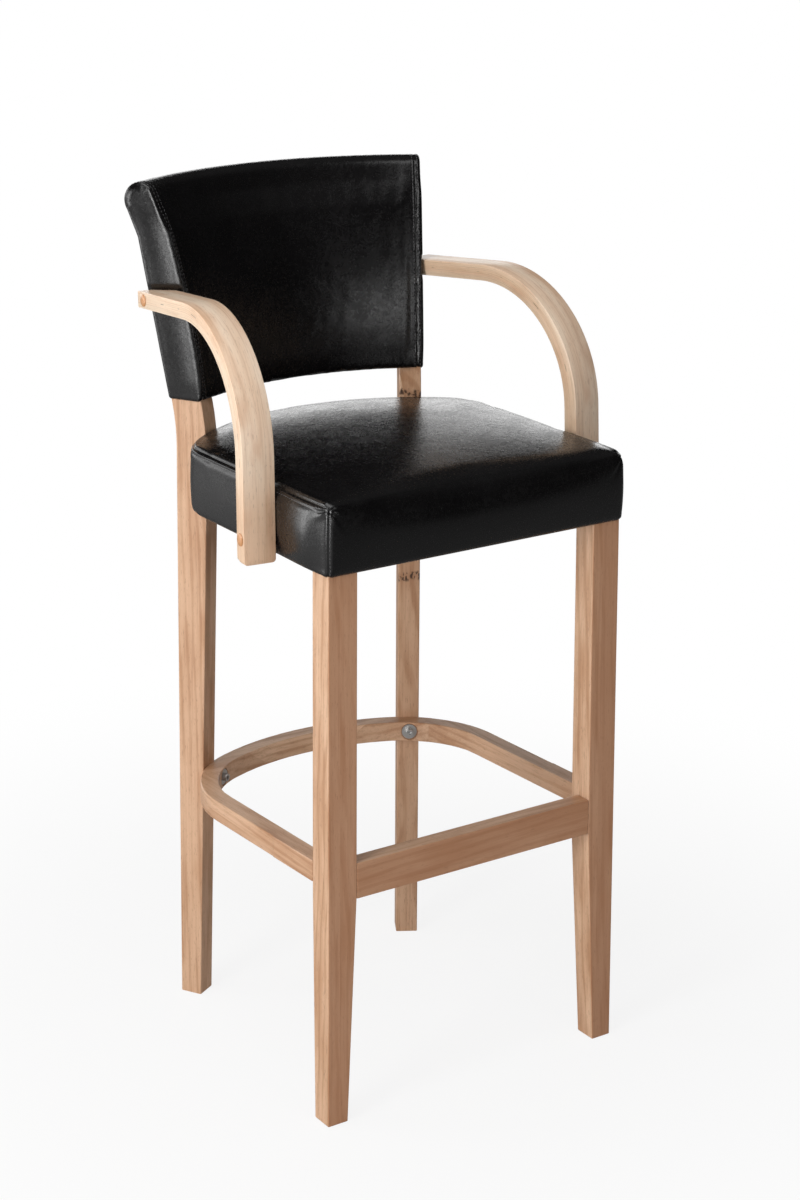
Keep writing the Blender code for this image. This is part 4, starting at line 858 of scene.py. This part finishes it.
def makeSeatBlock():
    half, small = seat["halfWidth"], seat["frontCorner"]
    z, front = seat["lowZ"], seat["frontY"]
    cornerX, cornerY, cornerEnd = rearCornerArc()
    obj = startWire("seat_cover_skin", (0, front, z))
    lineTo((0, front, z), (half - small, front, z))
    spinRound(steps=3, angle=math.pi / 2, center=(half - small, front + small, z), axis=(0, 0, 1))
    lineTo((half, front + small, z), (half, cornerY, z))
    spinRound(steps=12, angle=math.pi / 2 - cornerEnd, center=(cornerX, cornerY, z), axis=(0, 0, 1))
    spinRound(steps=20, angle=cornerEnd, center=(0, back["axisY"], z), axis=(0, 0, 1))
    objectMode()
    applyModifier(obj, "MIRROR", "other_half", use_clip=True, merge_threshold=0.0005)
    cleanUp(obj)
    editMode(obj)
    bpy.ops.mesh.select_all(action="SELECT")
    bpy.ops.mesh.edge_face_add()
    bpy.ops.mesh.extrude_region_move(TRANSFORM_OT_translate={"value": (0, 0, seat["rimZ"] - z)})
    top = seat["rimZ"] - 0.0001
    selectEdges(obj, lambda a, b: min(a.z, b.z) > top and max(a.y, b.y) < front + 0.0001)
    bpy.ops.mesh.bevel(offset=seat["frontRounding"], segments=6, profile=0.5)
    selectEdges(obj, lambda a, b: min(a.z, b.z) > top and min(a.y, b.y) > front + seat["frontRounding"])
    bpy.ops.mesh.bevel(offset=seat["topRounding"], segments=4, profile=0.5)
    selectEdges(obj, lambda a, b: max(a.z, b.z) < z + 0.0001)
    bpy.ops.mesh.bevel(offset=seat["hemRounding"], segments=2, profile=0.5)
    objectMode()
    cleanUp(obj)
    return obj


def crownSeat(obj):
    # the foam stands highest in the middle, and the sides swell a little between seam and hem
    co, normals = pointsOf(obj), normalsOf(obj)
    across = np.clip(np.abs(co[:, 0]) / seat["halfWidth"], 0, 1)
    rear = rearEdge(co[:, 0])
    middle = (rear + seat["frontY"]) / 2
    along = np.clip(np.abs(co[:, 1] - middle) / (rear - middle), 0, 1)
    power = seat["crownPower"]
    high = smoothStep(co[:, 2], seat["rimZ"] - seat["crownFrom"], seat["rimZ"] - seat["crownWhole"])
    share = (co[:, 2] - seat["lowZ"]) / (seat["rimZ"] - seat["lowZ"])
    swell = np.sin(np.pi * np.clip(share, 0, 1)) * np.clip(1 - np.abs(normals[:, 2]) * 1.5, 0, 1)
    co[:, 2] += seat["crown"] * (1 - across**power) * (1 - along**power) * high
    co[:, :2] += normals[:, :2] * (seat["bulge"] * swell)[:, None]
    setPoints(obj, co)


def pressedByArms(co, room=0.0006, width=0.030, blend=0.012):
    # the cover gives way where an arm's upright lies against the seat's side
    along, out = alongArm(co[:, 0], co[:, 1])
    near = smoothStep(along, -blend, 0.0) * (1 - smoothStep(along, width, width + blend))
    push = np.clip(out + room, 0, None) * near
    co[:, 0] -= np.sign(co[:, 0]) * push / math.cos(arm["toeIn"])
    return co


def sewSeat(obj):
    # the seam's groove, the rolls of leather beside it, and the gathers where it ends at a front corner
    co, normals = pointsOf(obj), normalsOf(obj)
    inwards, behind, rear = seatOffsets(co[:, 0], co[:, 1])
    side = 1 - smoothStep(np.minimum(inwards, rear), *seat["seamSide"])
    side *= smoothStep(behind, *seat["seamStart"])
    move = -seat["stitchSink"] * bell(co[:, 2] - seat["stitchZ"], seat["stitchWidth"]) * side
    for height, width, out in seat["rolls"]:
        move += out * bell(co[:, 2] - seat["seamZ"] - height, width) * side
    edge = (inwards - behind) / math.sqrt(2)
    atCorner = smoothStep(seat["edgeReach"][0] - inwards - behind, 0.0, seat["edgeReach"][1])
    atCorner *= 1 - smoothStep(co[:, 2] - seat["seamZ"], *seat["edgeTop"])
    move -= seat["edgeSink"] * bell(edge, seat["edgeWidth"]) * atCorner
    move += seat["edgeSwell"] * bell(np.abs(edge) - seat["swellAside"], seat["swellWidth"]) * atCorner
    rise = np.clip((co[:, 2] - seat["lowZ"]) / (seat["seamZ"] - seat["lowZ"]), 0, 1)
    swollen = smoothStep(behind, *seat["swellRise"]) * (1 - smoothStep(behind, *seat["swellFall"]))
    swollen *= seat["cornerSwell"] * np.sin(np.pi * rise) ** 0.7
    drawn = seat["cornerDrawn"] * (1 - smoothStep(behind, 0.0, seat["drawnReach"]))
    drawn *= smoothStep(rise, 0.0, 0.15)
    sideways = np.sign(co[:, 0]) * (swollen - drawn) * (1 - smoothStep(inwards, *seat["swellSide"]))
    for hand in (1, -1):
        offset = co - np.array([hand * seat["halfWidth"], seat["frontY"], seat["seamZ"]])
        distance = np.linalg.norm(offset, axis=1)
        reach = 1 - smoothStep(distance, 0.006, seat["gatherReach"])
        turn = np.arctan2(offset[:, 2], -hand * offset[:, 0] + 0.4 * offset[:, 1])
        wide, narrow = seat["gatherFolds"]
        folds = np.sin(turn * wide + 0.6 * hand) + 0.5 * np.sin(turn * narrow + 1.3)
        move += seat["gatherDepth"] * folds * reach * smoothStep(distance, 0.002, 0.012)
        move -= seat["cornerSink"] * bell(distance, seat["cornerWidth"])
    co += normals * move[:, None]
    co[:, 0] += sideways
    setPoints(obj, pressedByArms(co))


def openUnderneath(obj):
    # only a lip of the cover is turned in below, and the dust cloth closes the rest
    def inTheMiddle(face):
        p = face.calc_center_median()
        if p.z > seat["lowZ"] + 0.003 or face.normal.z > -0.5:
            return False
        return min(seatOffsets(p.x, p.y)) > seat["lip"]

    editMode(obj)
    selectFaces(obj, inTheMiddle)
    bpy.ops.mesh.delete(type="FACE")
    bpy.ops.mesh.select_mode(type="EDGE")
    bpy.ops.mesh.select_all(action="DESELECT")
    bpy.ops.mesh.select_non_manifold()
    bpy.ops.mesh.extrude_region_move(TRANSFORM_OT_translate={"value": (0, 0, seat["hemReturn"])})
    objectMode()


def nearSeatSeam(p):
    inwards, behind, rear = seatOffsets(p.x, p.y)
    onSide = min(inwards, rear) < 0.008 and behind > 0.004 and abs(p.z - seat["seamZ"]) < 0.0075
    return onSide or (inwards + behind < 0.020 and abs(inwards - behind) < 0.008)


seatPiece = makeSeatBlock()
applyModifier(seatPiece, "REMESH", "even", mode="VOXEL", voxel_size=seat["voxel"])
applyModifier(seatPiece, "SMOOTH", "soften", factor=0.5, iterations=3)
crownSeat(seatPiece)
setPoints(seatPiece, pressedByArms(pointsOf(seatPiece)))
puff(seatPiece, pointsOf(seatPiece)[:, 2] < seat["lowZ"] + 0.006, seat["puffPressure"], seat["puffLimit"])
applyModifier(seatPiece, "SMOOTH", "settle", factor=0.5, iterations=3)
applyModifier(seatPiece, "SUBSURF", "finer", levels=1, render_levels=1)
openUnderneath(seatPiece)
refine(seatPiece, nearSeatSeam)
sewSeat(seatPiece)
smoothShade(seatPiece, 80)
seatPiece.data.materials.append(leatherFinish("seat_faux_leather", seatSeams))
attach(seatPiece, "root")
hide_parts("seat_cover", "seat_foam")
print("seat made", len(seatPiece.data.polygons))


# Stitches

thread = {"length": 0.0036, "radius": 0.00036, "pitch": 0.0051, "sink": 0.0004}


def makeStitch():
    # one stitch of thread: its two ends dive into the leather
    deselectAll()
    bpy.ops.mesh.primitive_cylinder_add(vertices=6, radius=thread["radius"], depth=thread["length"] * 0.6)
    obj = bpy.context.object
    obj.rotation_euler = (0, math.pi / 2, 0)
    applyPlace(obj)
    editMode(obj)
    for hand in (1, -1):
        selectFaces(obj, lambda face: face.normal.x * hand > 0.9)
        step = (hand * thread["length"] * 0.2, 0, -thread["sink"])
        bpy.ops.mesh.extrude_region_move(TRANSFORM_OT_translate={"value": step})
        bpy.ops.transform.resize(value=(1, 0.6, 0.6))
    objectMode()
    smoothShade(obj, 80)
    return obj


def evenly(points, pitch):
    # places at an even pitch along a line of points, each with the line's direction there
    points = np.asarray(points)
    lengths = np.linalg.norm(np.diff(points, axis=0), axis=1)
    run = np.concatenate([[0], np.cumsum(lengths)])
    stops = np.arange(pitch / 2, run[-1], pitch)
    places, ahead, behind = (
        np.stack([np.interp(stops + step, run, points[:, i]) for i in range(3)], axis=1)
        for step in (0, 0.001, -0.001)
    )
    return places, ahead - behind


def sew(name, skin, rows):
    # copies of one stitch along each row, laid on the nearest place of the cover
    skinMesh = skin.data
    surface = BVHTree.FromPolygons([v.co for v in skinMesh.vertices], [p.vertices for p in skinMesh.polygons])
    stitch = makeStitch()
    made = []
    for row in rows:
        for place, ahead in zip(*evenly(row, thread["pitch"])):
            spot, normal = surface.find_nearest(Vector(place))[:2]
            ahead = Vector(ahead)
            ahead = (ahead - normal * ahead.dot(normal)).normalized()
            turned = Matrix((ahead, normal.cross(ahead), normal)).transposed().to_4x4()
            copy = copyOf(stitch, name)
            copy.data.transform(Matrix.Translation(spot + normal * thread["radius"] * 0.5) @ turned)
            made.append(copy)
    bpy.data.objects.remove(stitch)
    deselectAll()
    for copy in made:
        copy.select_set(True)
    bpy.context.view_layer.objects.active = made[0]
    bpy.ops.object.join()
    obj = bpy.context.object
    obj.name = name
    obj.data.materials.append(threadWithPaintedHighlight)
    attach(obj, "root")
    print(name, len(made), "stitches")


def seatRows():
    # below the seam along both sides and round the rear, then down the front corners
    half, z = seat["halfWidth"], seat["stitchZ"]
    corner, radius = seat["rearCorner"], seat["rearRadius"]
    cornerX, cornerY, cornerEnd = rearCornerArc()
    right = [(half, seat["frontY"] + behind, z + up) for behind, up in seat["stitchStart"]]
    for turn in np.linspace(0, math.pi / 2 - cornerEnd, 12):
        right.append((cornerX + corner * math.cos(turn), cornerY + corner * math.sin(turn), z))
    for turn in np.linspace(cornerEnd, 0, 24)[1:]:
        right.append((radius * math.sin(turn), back["axisY"] + radius * math.cos(turn), z))
    rows = [right + [(-x, y, z) for x, y, z in right[-2::-1]]]
    inset = seat["frontCorner"] * 0.3
    for hand in (1, -1):
        x, y = hand * (half - inset - seat["cornerStitchIn"]), seat["frontY"] + inset - 0.001
        rows.append([(x, y, seat["lowZ"] + 0.003), (x, y, seat["seamZ"] - 0.006)])
    return rows


sew("seat_stitches", seatPiece, seatRows())


# Backrest cover

backrest = {
    "hemZ": 0.829,
    "frontFoot": 0.3205,
    "frontTop": 0.3680,
    "frontTopZ": 1.051,
    "frontPower": 1.4,
    "scrollN": 0.412,
    "scrollZ": 1.0895,
    "scrollRadius": 0.0245,
    "scrollFrom": math.radians(135),
    "scrollTo": math.radians(-35),
    "rearTopZ": 1.0405,
    "rearStand": 0.0032,
    "sideStand": 0.0180,
    "sideRounding": 0.0045,
    "crown": 0.0175,
    "crownPower": 2.4,
    "crownShares": (0.6, 0.88, 1.0, 0.97, 0.86, 0.7, 0.5, 0.36, 0.0),
    "sideBulge": 0.0022,
    "hemZone": 0.030,              # above the hem, where swells and ridges set in
    "rollZone": (1.050, 1.090),    # heights between which they fade towards the roll
    "ridge": 0.0024,
    "ridgeAt": (0.0148, 0.0040),   # its middle, outwards from the post's middle, and its width
    "valley": 0.0016,
    "valleyAt": (0.0030, 0.0070),
    "seamOut": 0.0100,
    "seamDepth": 0.0013,
    "seamWidth": 0.0013,
    "lipHeight": 0.0004,           # the leather stands up on both sides of a seam
    "lipAside": 0.0018,
    "lipWidth": 0.0010,
    "rowSink": 0.0004,
    "rowWidth": 0.0010,
    "rowGap": 0.0070,
    "pleatDepth": 0.0003,
    "pleatZone": (0.004, 0.060),   # above the hem, where the pleats fade
    "pleatTurns": 520,
    "pleatWidth": 0.016,
    "armStand": 0.0154,
    "railSlack": 0.0006,
    "frontRows": 13,
    "rearRows": 7,
    "rollSteps": 18,
    "blockTurn": math.radians(37),
    "blockSteps": 100,
    "voxel": 0.0052,
    "puffPressure": 0.5,
    "puffLimit": 0.0018,
}


def backrestFront(z):
    share = (z - backrest["hemZ"]) / (backrest["frontTopZ"] - backrest["hemZ"])
    rise = backrest["frontTop"] - backrest["frontFoot"]
    return backrest["frontFoot"] + rise * np.clip(share, 0, 1) ** backrest["frontPower"]


def scrollPoint(angle):
    reach = backrest["scrollRadius"]
    return backrest["scrollN"] + reach * math.cos(angle), backrest["scrollZ"] + reach * math.sin(angle)


def backrestRear(z):
    lean = math.tan(back["postLean"]) * (z - back["bendZ"])
    return back["postFront"] + back["postDepth"] + lean + backrest["rearStand"]


def backrestProfile(frontRows, rollRows, rearRows, frontGap=0.0, rearGap=0.0):
    # the cover's outline from the hem over the roll to the hem: distances from the back axis and heights
    frontZ = np.linspace(backrest["hemZ"] + frontGap, backrest["frontTopZ"], frontRows)
    turns = np.linspace(backrest["scrollFrom"], backrest["scrollTo"], rollRows)
    rearZ = np.linspace(backrest["rearTopZ"], backrest["hemZ"] + rearGap, rearRows)
    outline = [(float(backrestFront(z)), z) for z in frontZ]
    outline += [scrollPoint(turn) for turn in turns] + [(backrestRear(z), z) for z in rearZ]
    return np.array(outline)


def makeBackrestBlock():
    frontRows = backrest["frontRows"]
    profile = backrestProfile(frontRows, 2, backrest["rearRows"])
    profile = [(0, back["axisY"] + float(n), float(z)) for n, z in profile]
    obj = startWire("backrest_cover_skin", profile[0])
    for start, end in zip(profile[:frontRows], profile[1:]):
        lineTo(start, end)
    centre = (0, back["axisY"] + backrest["scrollN"], backrest["scrollZ"])
    turn = backrest["scrollFrom"] - backrest["scrollTo"]
    spinRound(steps=backrest["rollSteps"], angle=turn, center=centre, axis=(-1, 0, 0))
    for start, end in zip(profile[frontRows + 1:], profile[frontRows + 2:]):
        lineTo(start, end)
    editMode(obj)
    bpy.ops.mesh.select_all(action="SELECT")
    bpy.ops.mesh.edge_face_add()
    turn = backrest["blockTurn"]
    bpy.ops.transform.rotate(value=turn, orient_axis="Z", center_override=backAxis)
    bpy.ops.mesh.select_all(action="SELECT")
    spinRound(steps=backrest["blockSteps"], angle=2 * turn, center=backAxis, axis=(0, 0, 1))
    objectMode()
    cleanUp(obj)
    for hand in (1, -1):
        normal = Vector((postAcross.x * hand, postAcross.y, 0))
        cutAt = backAxis + normal * backrest["sideStand"]
        editMode(obj)
        bpy.ops.mesh.select_all(action="SELECT")
        bpy.ops.mesh.bisect(plane_co=cutAt, plane_no=normal, use_fill=True, clear_outer=True)
        selectEdges(obj, lambda a, b: abs((a - cutAt).dot(normal)) + abs((b - cutAt).dot(normal)) < 1e-5)
        bpy.ops.mesh.bevel(offset=backrest["sideRounding"], segments=3, profile=0.5)
        objectMode()
    cleanUp(obj)
    return obj


def backPlaces(co):
    # each point's distance from the back axis, its distance outwards from the nearer post, and its turn
    ax, y = np.abs(co[:, 0]), co[:, 1] - back["axisY"]
    return np.hypot(ax, y), outFromPost(co[:, 0], co[:, 1]), np.arctan2(ax, y)


def movedIn(co, reach, move):
    # points move towards the back axis
    share = (reach - move) / reach
    co[:, 0] *= share
    co[:, 1] = back["axisY"] + (co[:, 1] - back["axisY"]) * share
    return co


def movedOut(co, move):
    # points move outwards from their post, square to the side panel
    co[:, 0] += np.where(co[:, 0] < 0, -1.0, 1.0) * move * math.cos(back["postTurn"])
    co[:, 1] -= move * math.sin(back["postTurn"])
    return co


def facing(co, normals):
    # how far each point's normal turns to the sitter, and how far it turns outwards from its post
    reach = backPlaces(co)[0]
    toSitter = -(normals[:, 0] * co[:, 0] + normals[:, 1] * (co[:, 1] - back["axisY"])) / reach
    hand = np.where(co[:, 0] < 0, -1.0, 1.0)
    outwards = normals[:, 0] * hand * math.cos(back["postTurn"]) - normals[:, 1] * math.sin(back["postTurn"])
    return smoothStep(toSitter, 0.2, 0.75), smoothStep(outwards, 0.3, 0.85)


def betweenHemAndRoll(z):
    # grows from nothing at the hem, and fades towards the roll
    low = smoothStep(z, backrest["hemZ"], backrest["hemZ"] + backrest["hemZone"])
    return low, 1 - smoothStep(z, *backrest["rollZone"])


def gussetSwell(reach, z):
    # the side panels swell between the front and the rear
    low, high = betweenHemAndRoll(z)
    share = (reach - backrestFront(z)) / (backrestRear(z) - backrestFront(z))
    return backrest["sideBulge"] * np.sin(np.pi * np.clip(share, 0, 1)) * low * high


def drawnTrue(obj, swollen=False):
    # the remeshed block goes back onto its own outline and flat sides, with evenly rounded edges;
    # once it is swollen, only the strips beside its two edges do
    co = pointsOf(obj)
    reach, out, turn = backPlaces(co)
    here = np.stack([reach, co[:, 2]], axis=1)
    outline = backrestProfile(backrest["frontRows"], backrest["rollSteps"] + 1, backrest["rearRows"])
    nearest = np.full(len(co), np.inf)
    foot = np.zeros_like(here)
    inside = np.zeros(len(co), bool)
    for first, second in zip(outline, np.roll(outline, -1, axis=0)):
        step = second - first
        share = np.clip((here - first) @ step / (step @ step), 0, 1)
        point = first + share[:, None] * step
        distance = np.linalg.norm(here - point, axis=1)
        closer = distance < nearest
        nearest[closer], foot[closer] = distance[closer], point[closer]
        crosses = (first[1] > here[:, 1]) != (second[1] > here[:, 1])
        rise = step[1] if abs(step[1]) > 1e-9 else 1e-9
        inside ^= crosses & (here[:, 0] < first[0] + (here[:, 1] - first[1]) * step[0] / rise)
    sign = np.where(inside, -1.0, 1.0)
    away = (here - foot) * (sign / np.maximum(nearest, 1e-7))[:, None]
    rounding = backrest["sideRounding"]
    over = sign * nearest + rounding
    beside = out - backrest["sideStand"] + rounding
    weight = 1.0
    if swollen:
        beside -= gussetSwell(reach, co[:, 2])
        weight = smoothStep(out, backrest["seamOut"] + 0.001, backrest["seamOut"] + 0.005)
        weight *= 1 - smoothStep(-sign * nearest, 0.006, 0.014)
    corner = np.hypot(np.maximum(over, 0), np.maximum(beside, 0))
    onCorner = (over > 0) & (beside > 0)
    onSide = ~onCorner & (beside > over)
    gap = np.where(onCorner, corner, np.maximum(over, beside)) - rounding
    overShare = np.where(onCorner, over / np.maximum(corner, 1e-9), np.where(onSide, 0, 1))
    sideShare = np.where(onCorner, beside / np.maximum(corner, 1e-9), np.where(onSide, 1, 0))
    gap = np.clip(gap, -0.004, 0.004) * weight
    co[:, 2] -= gap * overShare * away[:, 1]
    co = movedIn(co, reach, gap * overShare * away[:, 0])
    setPoints(obj, movedOut(co, -gap * sideShare))


def crownBackrest(obj):
    # the front panel stands out most in the middle of its lower half
    co, normals = pointsOf(obj), normalsOf(obj)
    reach, out, turn = backPlaces(co)
    height = (co[:, 2] - backrest["hemZ"]) / (backrest["frontTopZ"] - backrest["hemZ"])
    steps = np.linspace(0, 8 / 7, len(backrest["crownShares"]))
    up = np.interp(height, steps, backrest["crownShares"])
    widest = back["postTurn"] + math.asin(back["postHalf"] / backrest["frontFoot"])
    across = 1 - np.clip(turn / widest, 0, 1) ** backrest["crownPower"]
    setPoints(obj, movedIn(co, reach, backrest["crown"] * up * across * facing(co, normals)[0]))


def shapeGusset(obj):
    co = pointsOf(obj)
    reach, out, turn = backPlaces(co)
    side = smoothStep(out, backrest["sideStand"] - 0.004, backrest["sideStand"])
    setPoints(obj, movedOut(co, gussetSwell(reach, co[:, 2]) * side))


def raiseRidge(co):
    # a ridge stands beside the front seam, and a valley lies inside it
    reach, out, turn = backPlaces(co)
    low, high = betweenHemAndRoll(co[:, 2])
    ridgeOut, ridgeWidth = backrest["ridgeAt"]
    valleyOut, valleyWidth = backrest["valleyAt"]
    move = backrest["ridge"] * bell(out - ridgeOut, ridgeWidth) * low * (0.35 + 0.65 * high)
    move -= backrest["valley"] * bell(out - valleyOut, valleyWidth) * low * high
    move *= 1 - smoothStep(reach - backrestFront(co[:, 2]), 0.002, 0.016)
    return movedIn(co, reach, move)


def pressedByArmEnds(co, blend=0.007):
    # the side panels give way where the arms' rear ends lie against them
    fall, half = arm["topFall"], arm["thickness"] / 2
    out = backPlaces(co)[1]
    along, across = alongArm(co[:, 0], co[:, 1])
    along = along - arm["centreY"]
    up = co[:, 2] - arm["centreZ"]
    over = along * math.sin(fall) + up * math.cos(fall) - (arm["radius"] - half)
    rear = along * math.cos(fall) - up * math.sin(fall)
    beside = np.maximum(np.abs(over) - half, 0)
    beside = np.hypot(beside, np.maximum(np.maximum(-across, across - arm["width"]), 0))
    beside = np.hypot(beside, np.maximum(rear - (arm["rearY"] - arm["centreY"]), 0))
    pressed = 1 - smoothStep(beside, 0.001, blend)
    return movedOut(co, -np.clip(out - backrest["armStand"], 0, None) * pressed)


def keptRound(co):
    # nowhere does the cover sink into the rounded rail at the top
    reach, out, turn = backPlaces(co)
    n, z = reach - backrest["scrollN"], co[:, 2] - backrest["scrollZ"]
    distance, angle = np.hypot(n, z), np.arctan2(z, n)
    onScroll = (angle > backrest["scrollTo"]) & (angle < backrest["scrollFrom"])
    onScroll &= distance > 0.5 * backrest["scrollRadius"]
    rounded = 0.0035 * smoothStep(out, backrest["sideStand"] - 0.004, backrest["sideStand"] + 0.001)
    least = backrest["scrollRadius"] - backrest["railSlack"] - rounded
    grow = np.where(onScroll & (distance < least), least / np.maximum(distance, 1e-6), 1.0)
    co[:, 2] = backrest["scrollZ"] + z * grow
    return movedIn(co, reach, n - n * grow)


def sewBackrest(obj):
    # the seams' grooves and lips, the rows beside them, and small pleats over the hem
    co, normals = pointsOf(obj), normalsOf(obj)
    out = backPlaces(co)[1]
    front, side = facing(co, normals)
    over = out - backrest["seamOut"]
    move = -backrest["seamDepth"] * bell(over, backrest["seamWidth"])
    move += backrest["lipHeight"] * bell(np.abs(over) - backrest["lipAside"], backrest["lipWidth"])
    move -= backrest["rowSink"] * bell(np.abs(over) - backrest["rowGap"] / 2, backrest["rowWidth"])
    move *= 1 - side
    low = 1 - smoothStep(co[:, 2] - backrest["hemZ"], *backrest["pleatZone"])
    pleats = np.sin(out * backrest["pleatTurns"] + 0.7 * np.sin(co[:, 2] * 90))
    pleats *= bell(out + 0.012, backrest["pleatWidth"])
    move += backrest["pleatDepth"] * pleats * low * front
    co = raiseRidge(co + normals * move[:, None])
    setPoints(obj, pressedByArmEnds(keptRound(co)))


def nearBackSeam(p):
    return abs(outFromPost(p.x, p.y) - backrest["seamOut"]) < 0.0065


def backrestPlace(n, z, out, hand):
    angle = hand * (back["postTurn"] + math.asin(out / n))
    return (n * math.sin(angle), back["axisY"] + n * math.cos(angle), z)


def backrestRows():
    # two rows along each seam: up the front, over the scroll and down the rear
    profile = backrestProfile(24, 24, 24, 0.004, 0.006)
    rows = []
    for hand in (1, -1):
        for over in (-0.5, 0.5):
            out = backrest["seamOut"] + over * backrest["rowGap"]
            rows.append([backrestPlace(n, z, out, hand) for n, z in profile])
    return rows


backPiece = makeBackrestBlock()
applyModifier(backPiece, "REMESH", "even", mode="VOXEL", voxel_size=backrest["voxel"])
applyModifier(backPiece, "SMOOTH", "soften", factor=0.5, iterations=4)
drawnTrue(backPiece)
crownBackrest(backPiece)
shapeGusset(backPiece)
backCo = pointsOf(backPiece)
backReach, backOut, backTurn = backPlaces(backCo)
held = (backCo[:, 2] < backrest["hemZ"] + 0.012) | (np.abs(backOut - backrest["seamOut"]) < 0.003)
held |= (backOut > backrest["seamOut"]) & (backReach < backrestFront(backCo[:, 2]) + 0.006)
puff(backPiece, held, backrest["puffPressure"], backrest["puffLimit"])
applyModifier(backPiece, "SMOOTH", "settle", factor=0.5, iterations=3)
applyModifier(backPiece, "SUBSURF", "finer", levels=1, render_levels=1)
refine(backPiece, nearBackSeam)
drawnTrue(backPiece, swollen=True)
sewBackrest(backPiece)
smoothShade(backPiece, 80)
backPiece.data.materials.append(leatherFinish("backrest_faux_leather", backrestSeams))
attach(backPiece, "root")
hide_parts("backrest_cover", "backrest_foam")
print("backrest made", len(backPiece.data.polygons))
sew("backrest_stitches", backPiece, backrestRows())


# Floor, light and camera

studio = {
    "floorSize": 30.0,
    "floorPaint": (rgb(0.80, 0.80, 0.80), rgb(0.82, 0.82, 0.82)),
    "floorFade": (0.3, 1.3),            # distances over which the floor goes white to the camera
    "floorGlow": (0.86, 1.0),
    "worldSides": (-0.2, 0.7),          # from the left to the right, what lights the stool
    "worldLevels": (0.12, 0.42),
    "glossyBehind": (0.35, 0.65),       # reflections see a bright band low down behind the stool
    "glossyLow": (0.31, 0.13),
    "glossyDark": 0.02,
    "glossyBright": 2.3,
    "glossyCeiling": (0.50, 0.85, 0.0, 0.07),
    "mirroredLeft": (-0.2, -1.8, 0.06, 0.58),      # the floor in reflections: x from and to, levels
    "mirroredNear": (20.0, 4.0, 0.0, 0.14),        # and the distance squared from and to, levels
}
lamps = {
    "key": {"place": (-2.65, -0.85, 1.15), "target": (0, 0, 0.80), "size": (0.9, 1.7), "power": 46.0},
    "rim": {"place": (-2.6, 1.7, 0.75), "target": (0, 0, 0.75), "size": (0.8, 1.5), "power": 19.0},
    "fill": {"place": (0.25, -2.9, 1.42), "target": (0, 0, 0.85), "size": (0.5, 0.7), "power": 5.0},
    "top": {"place": (-1.0, -0.3, 3.0), "target": (0, 0, 0.7), "size": (2.0, 2.0), "power": 33.0},
}
camera = {
    "place": (-1.81588, -2.7484, 1.66766),
    "yaw": 0.5711,
    "pitch": 0.1711,
    "lens": 77.94,
    "sensor": 36,
    "shift": (0.0607, -0.3344),
    "far": 60,
}


def makeFloor():
    # white to the camera; in reflections it is brighter to the left and near the stool
    deselectAll()
    bpy.ops.mesh.primitive_plane_add(size=studio["floorSize"], location=(0, 0, 0))
    obj = bpy.context.object
    obj.name = "floor"
    made = Finish("floor_paint")
    mottle = made.noise(made.place(), 0.6, 2.0)
    made.set(Base_Color=made.mix(mottle, *studio["floorPaint"]), Roughness=0.9, Specular_IOR_Level=0.0)
    seen = made.node("ShaderNodeLightPath", output="Is Camera Ray")
    shiny = made.node("ShaderNodeLightPath", output="Is Glossy Ray")
    x, y, z = made.parts(made.place())
    away = x * x + y * y
    white = made.ramp(away.root(), *studio["floorFade"], *studio["floorGlow"])
    level = made.ramp(x, *studio["mirroredLeft"]) + made.ramp(away, *studio["mirroredNear"])
    glow = made.node("ShaderNodeEmission", None, {"Color": seen + shiny * level, "Strength": 1.0})
    paint = Value(made, made.shader.outputs[0])
    blend = made.node("ShaderNodeMixShader", None, {0: seen * white + shiny, 1: paint, 2: glow})
    made.feed(made.tree.nodes["Material Output"].inputs["Surface"], blend)
    obj.data.materials.append(made.material)


def makeWorld():
    # white to the camera; what lights the stool is brighter from the right
    world = bpy.data.worlds.new("studio")
    bpy.context.scene.world = world
    made = Finish("studio", world)
    x, y, z = made.parts(made.node("ShaderNodeTexCoord", output="Generated"))
    bright = made.ramp(y, *studio["glossyBehind"]) * made.ramp(z, *studio["glossyLow"])
    glossy = bright * (studio["glossyBright"] - studio["glossyDark"]) + studio["glossyDark"]
    glossy = glossy + made.ramp(z, *studio["glossyCeiling"])
    isCamera = made.node("ShaderNodeLightPath", output="Is Camera Ray")
    isGlossy = made.node("ShaderNodeLightPath", output="Is Glossy Ray")
    level = made.ramp(x, *studio["worldSides"], *studio["worldLevels"])
    level = isGlossy * glossy + (1 - isGlossy) * level
    made.set(Color=isCamera + (1 - isCamera) * level, Strength=1.0)


def makeLamp(name, place, target, size, power):
    data = bpy.data.lights.new(name, "AREA")
    data.shape = "RECTANGLE"
    data.size, data.size_y = size
    data.energy = power
    obj = bpy.data.objects.new(name, data)
    obj.location = place
    obj.rotation_euler = (Vector(target) - Vector(place)).to_track_quat("-Z", "Y").to_euler()
    bpy.context.scene.collection.objects.link(obj)


def makeCamera():
    data = bpy.data.cameras.new("camera")
    data.lens = camera["lens"]
    data.sensor_width = camera["sensor"]
    data.shift_x, data.shift_y = camera["shift"]
    data.clip_end = camera["far"]
    obj = bpy.data.objects.new("camera", data)
    obj.location = camera["place"]
    obj.rotation_euler = (math.pi / 2 - camera["pitch"], 0, -camera["yaw"])
    bpy.context.scene.collection.objects.link(obj)
    bpy.context.scene.camera = obj


makeFloor()
makeWorld()
for name, lamp in lamps.items():
    makeLamp(name, **lamp)
makeCamera()
bpy.context.scene.view_settings.view_transform = "Standard"
print("floor, light and camera set")
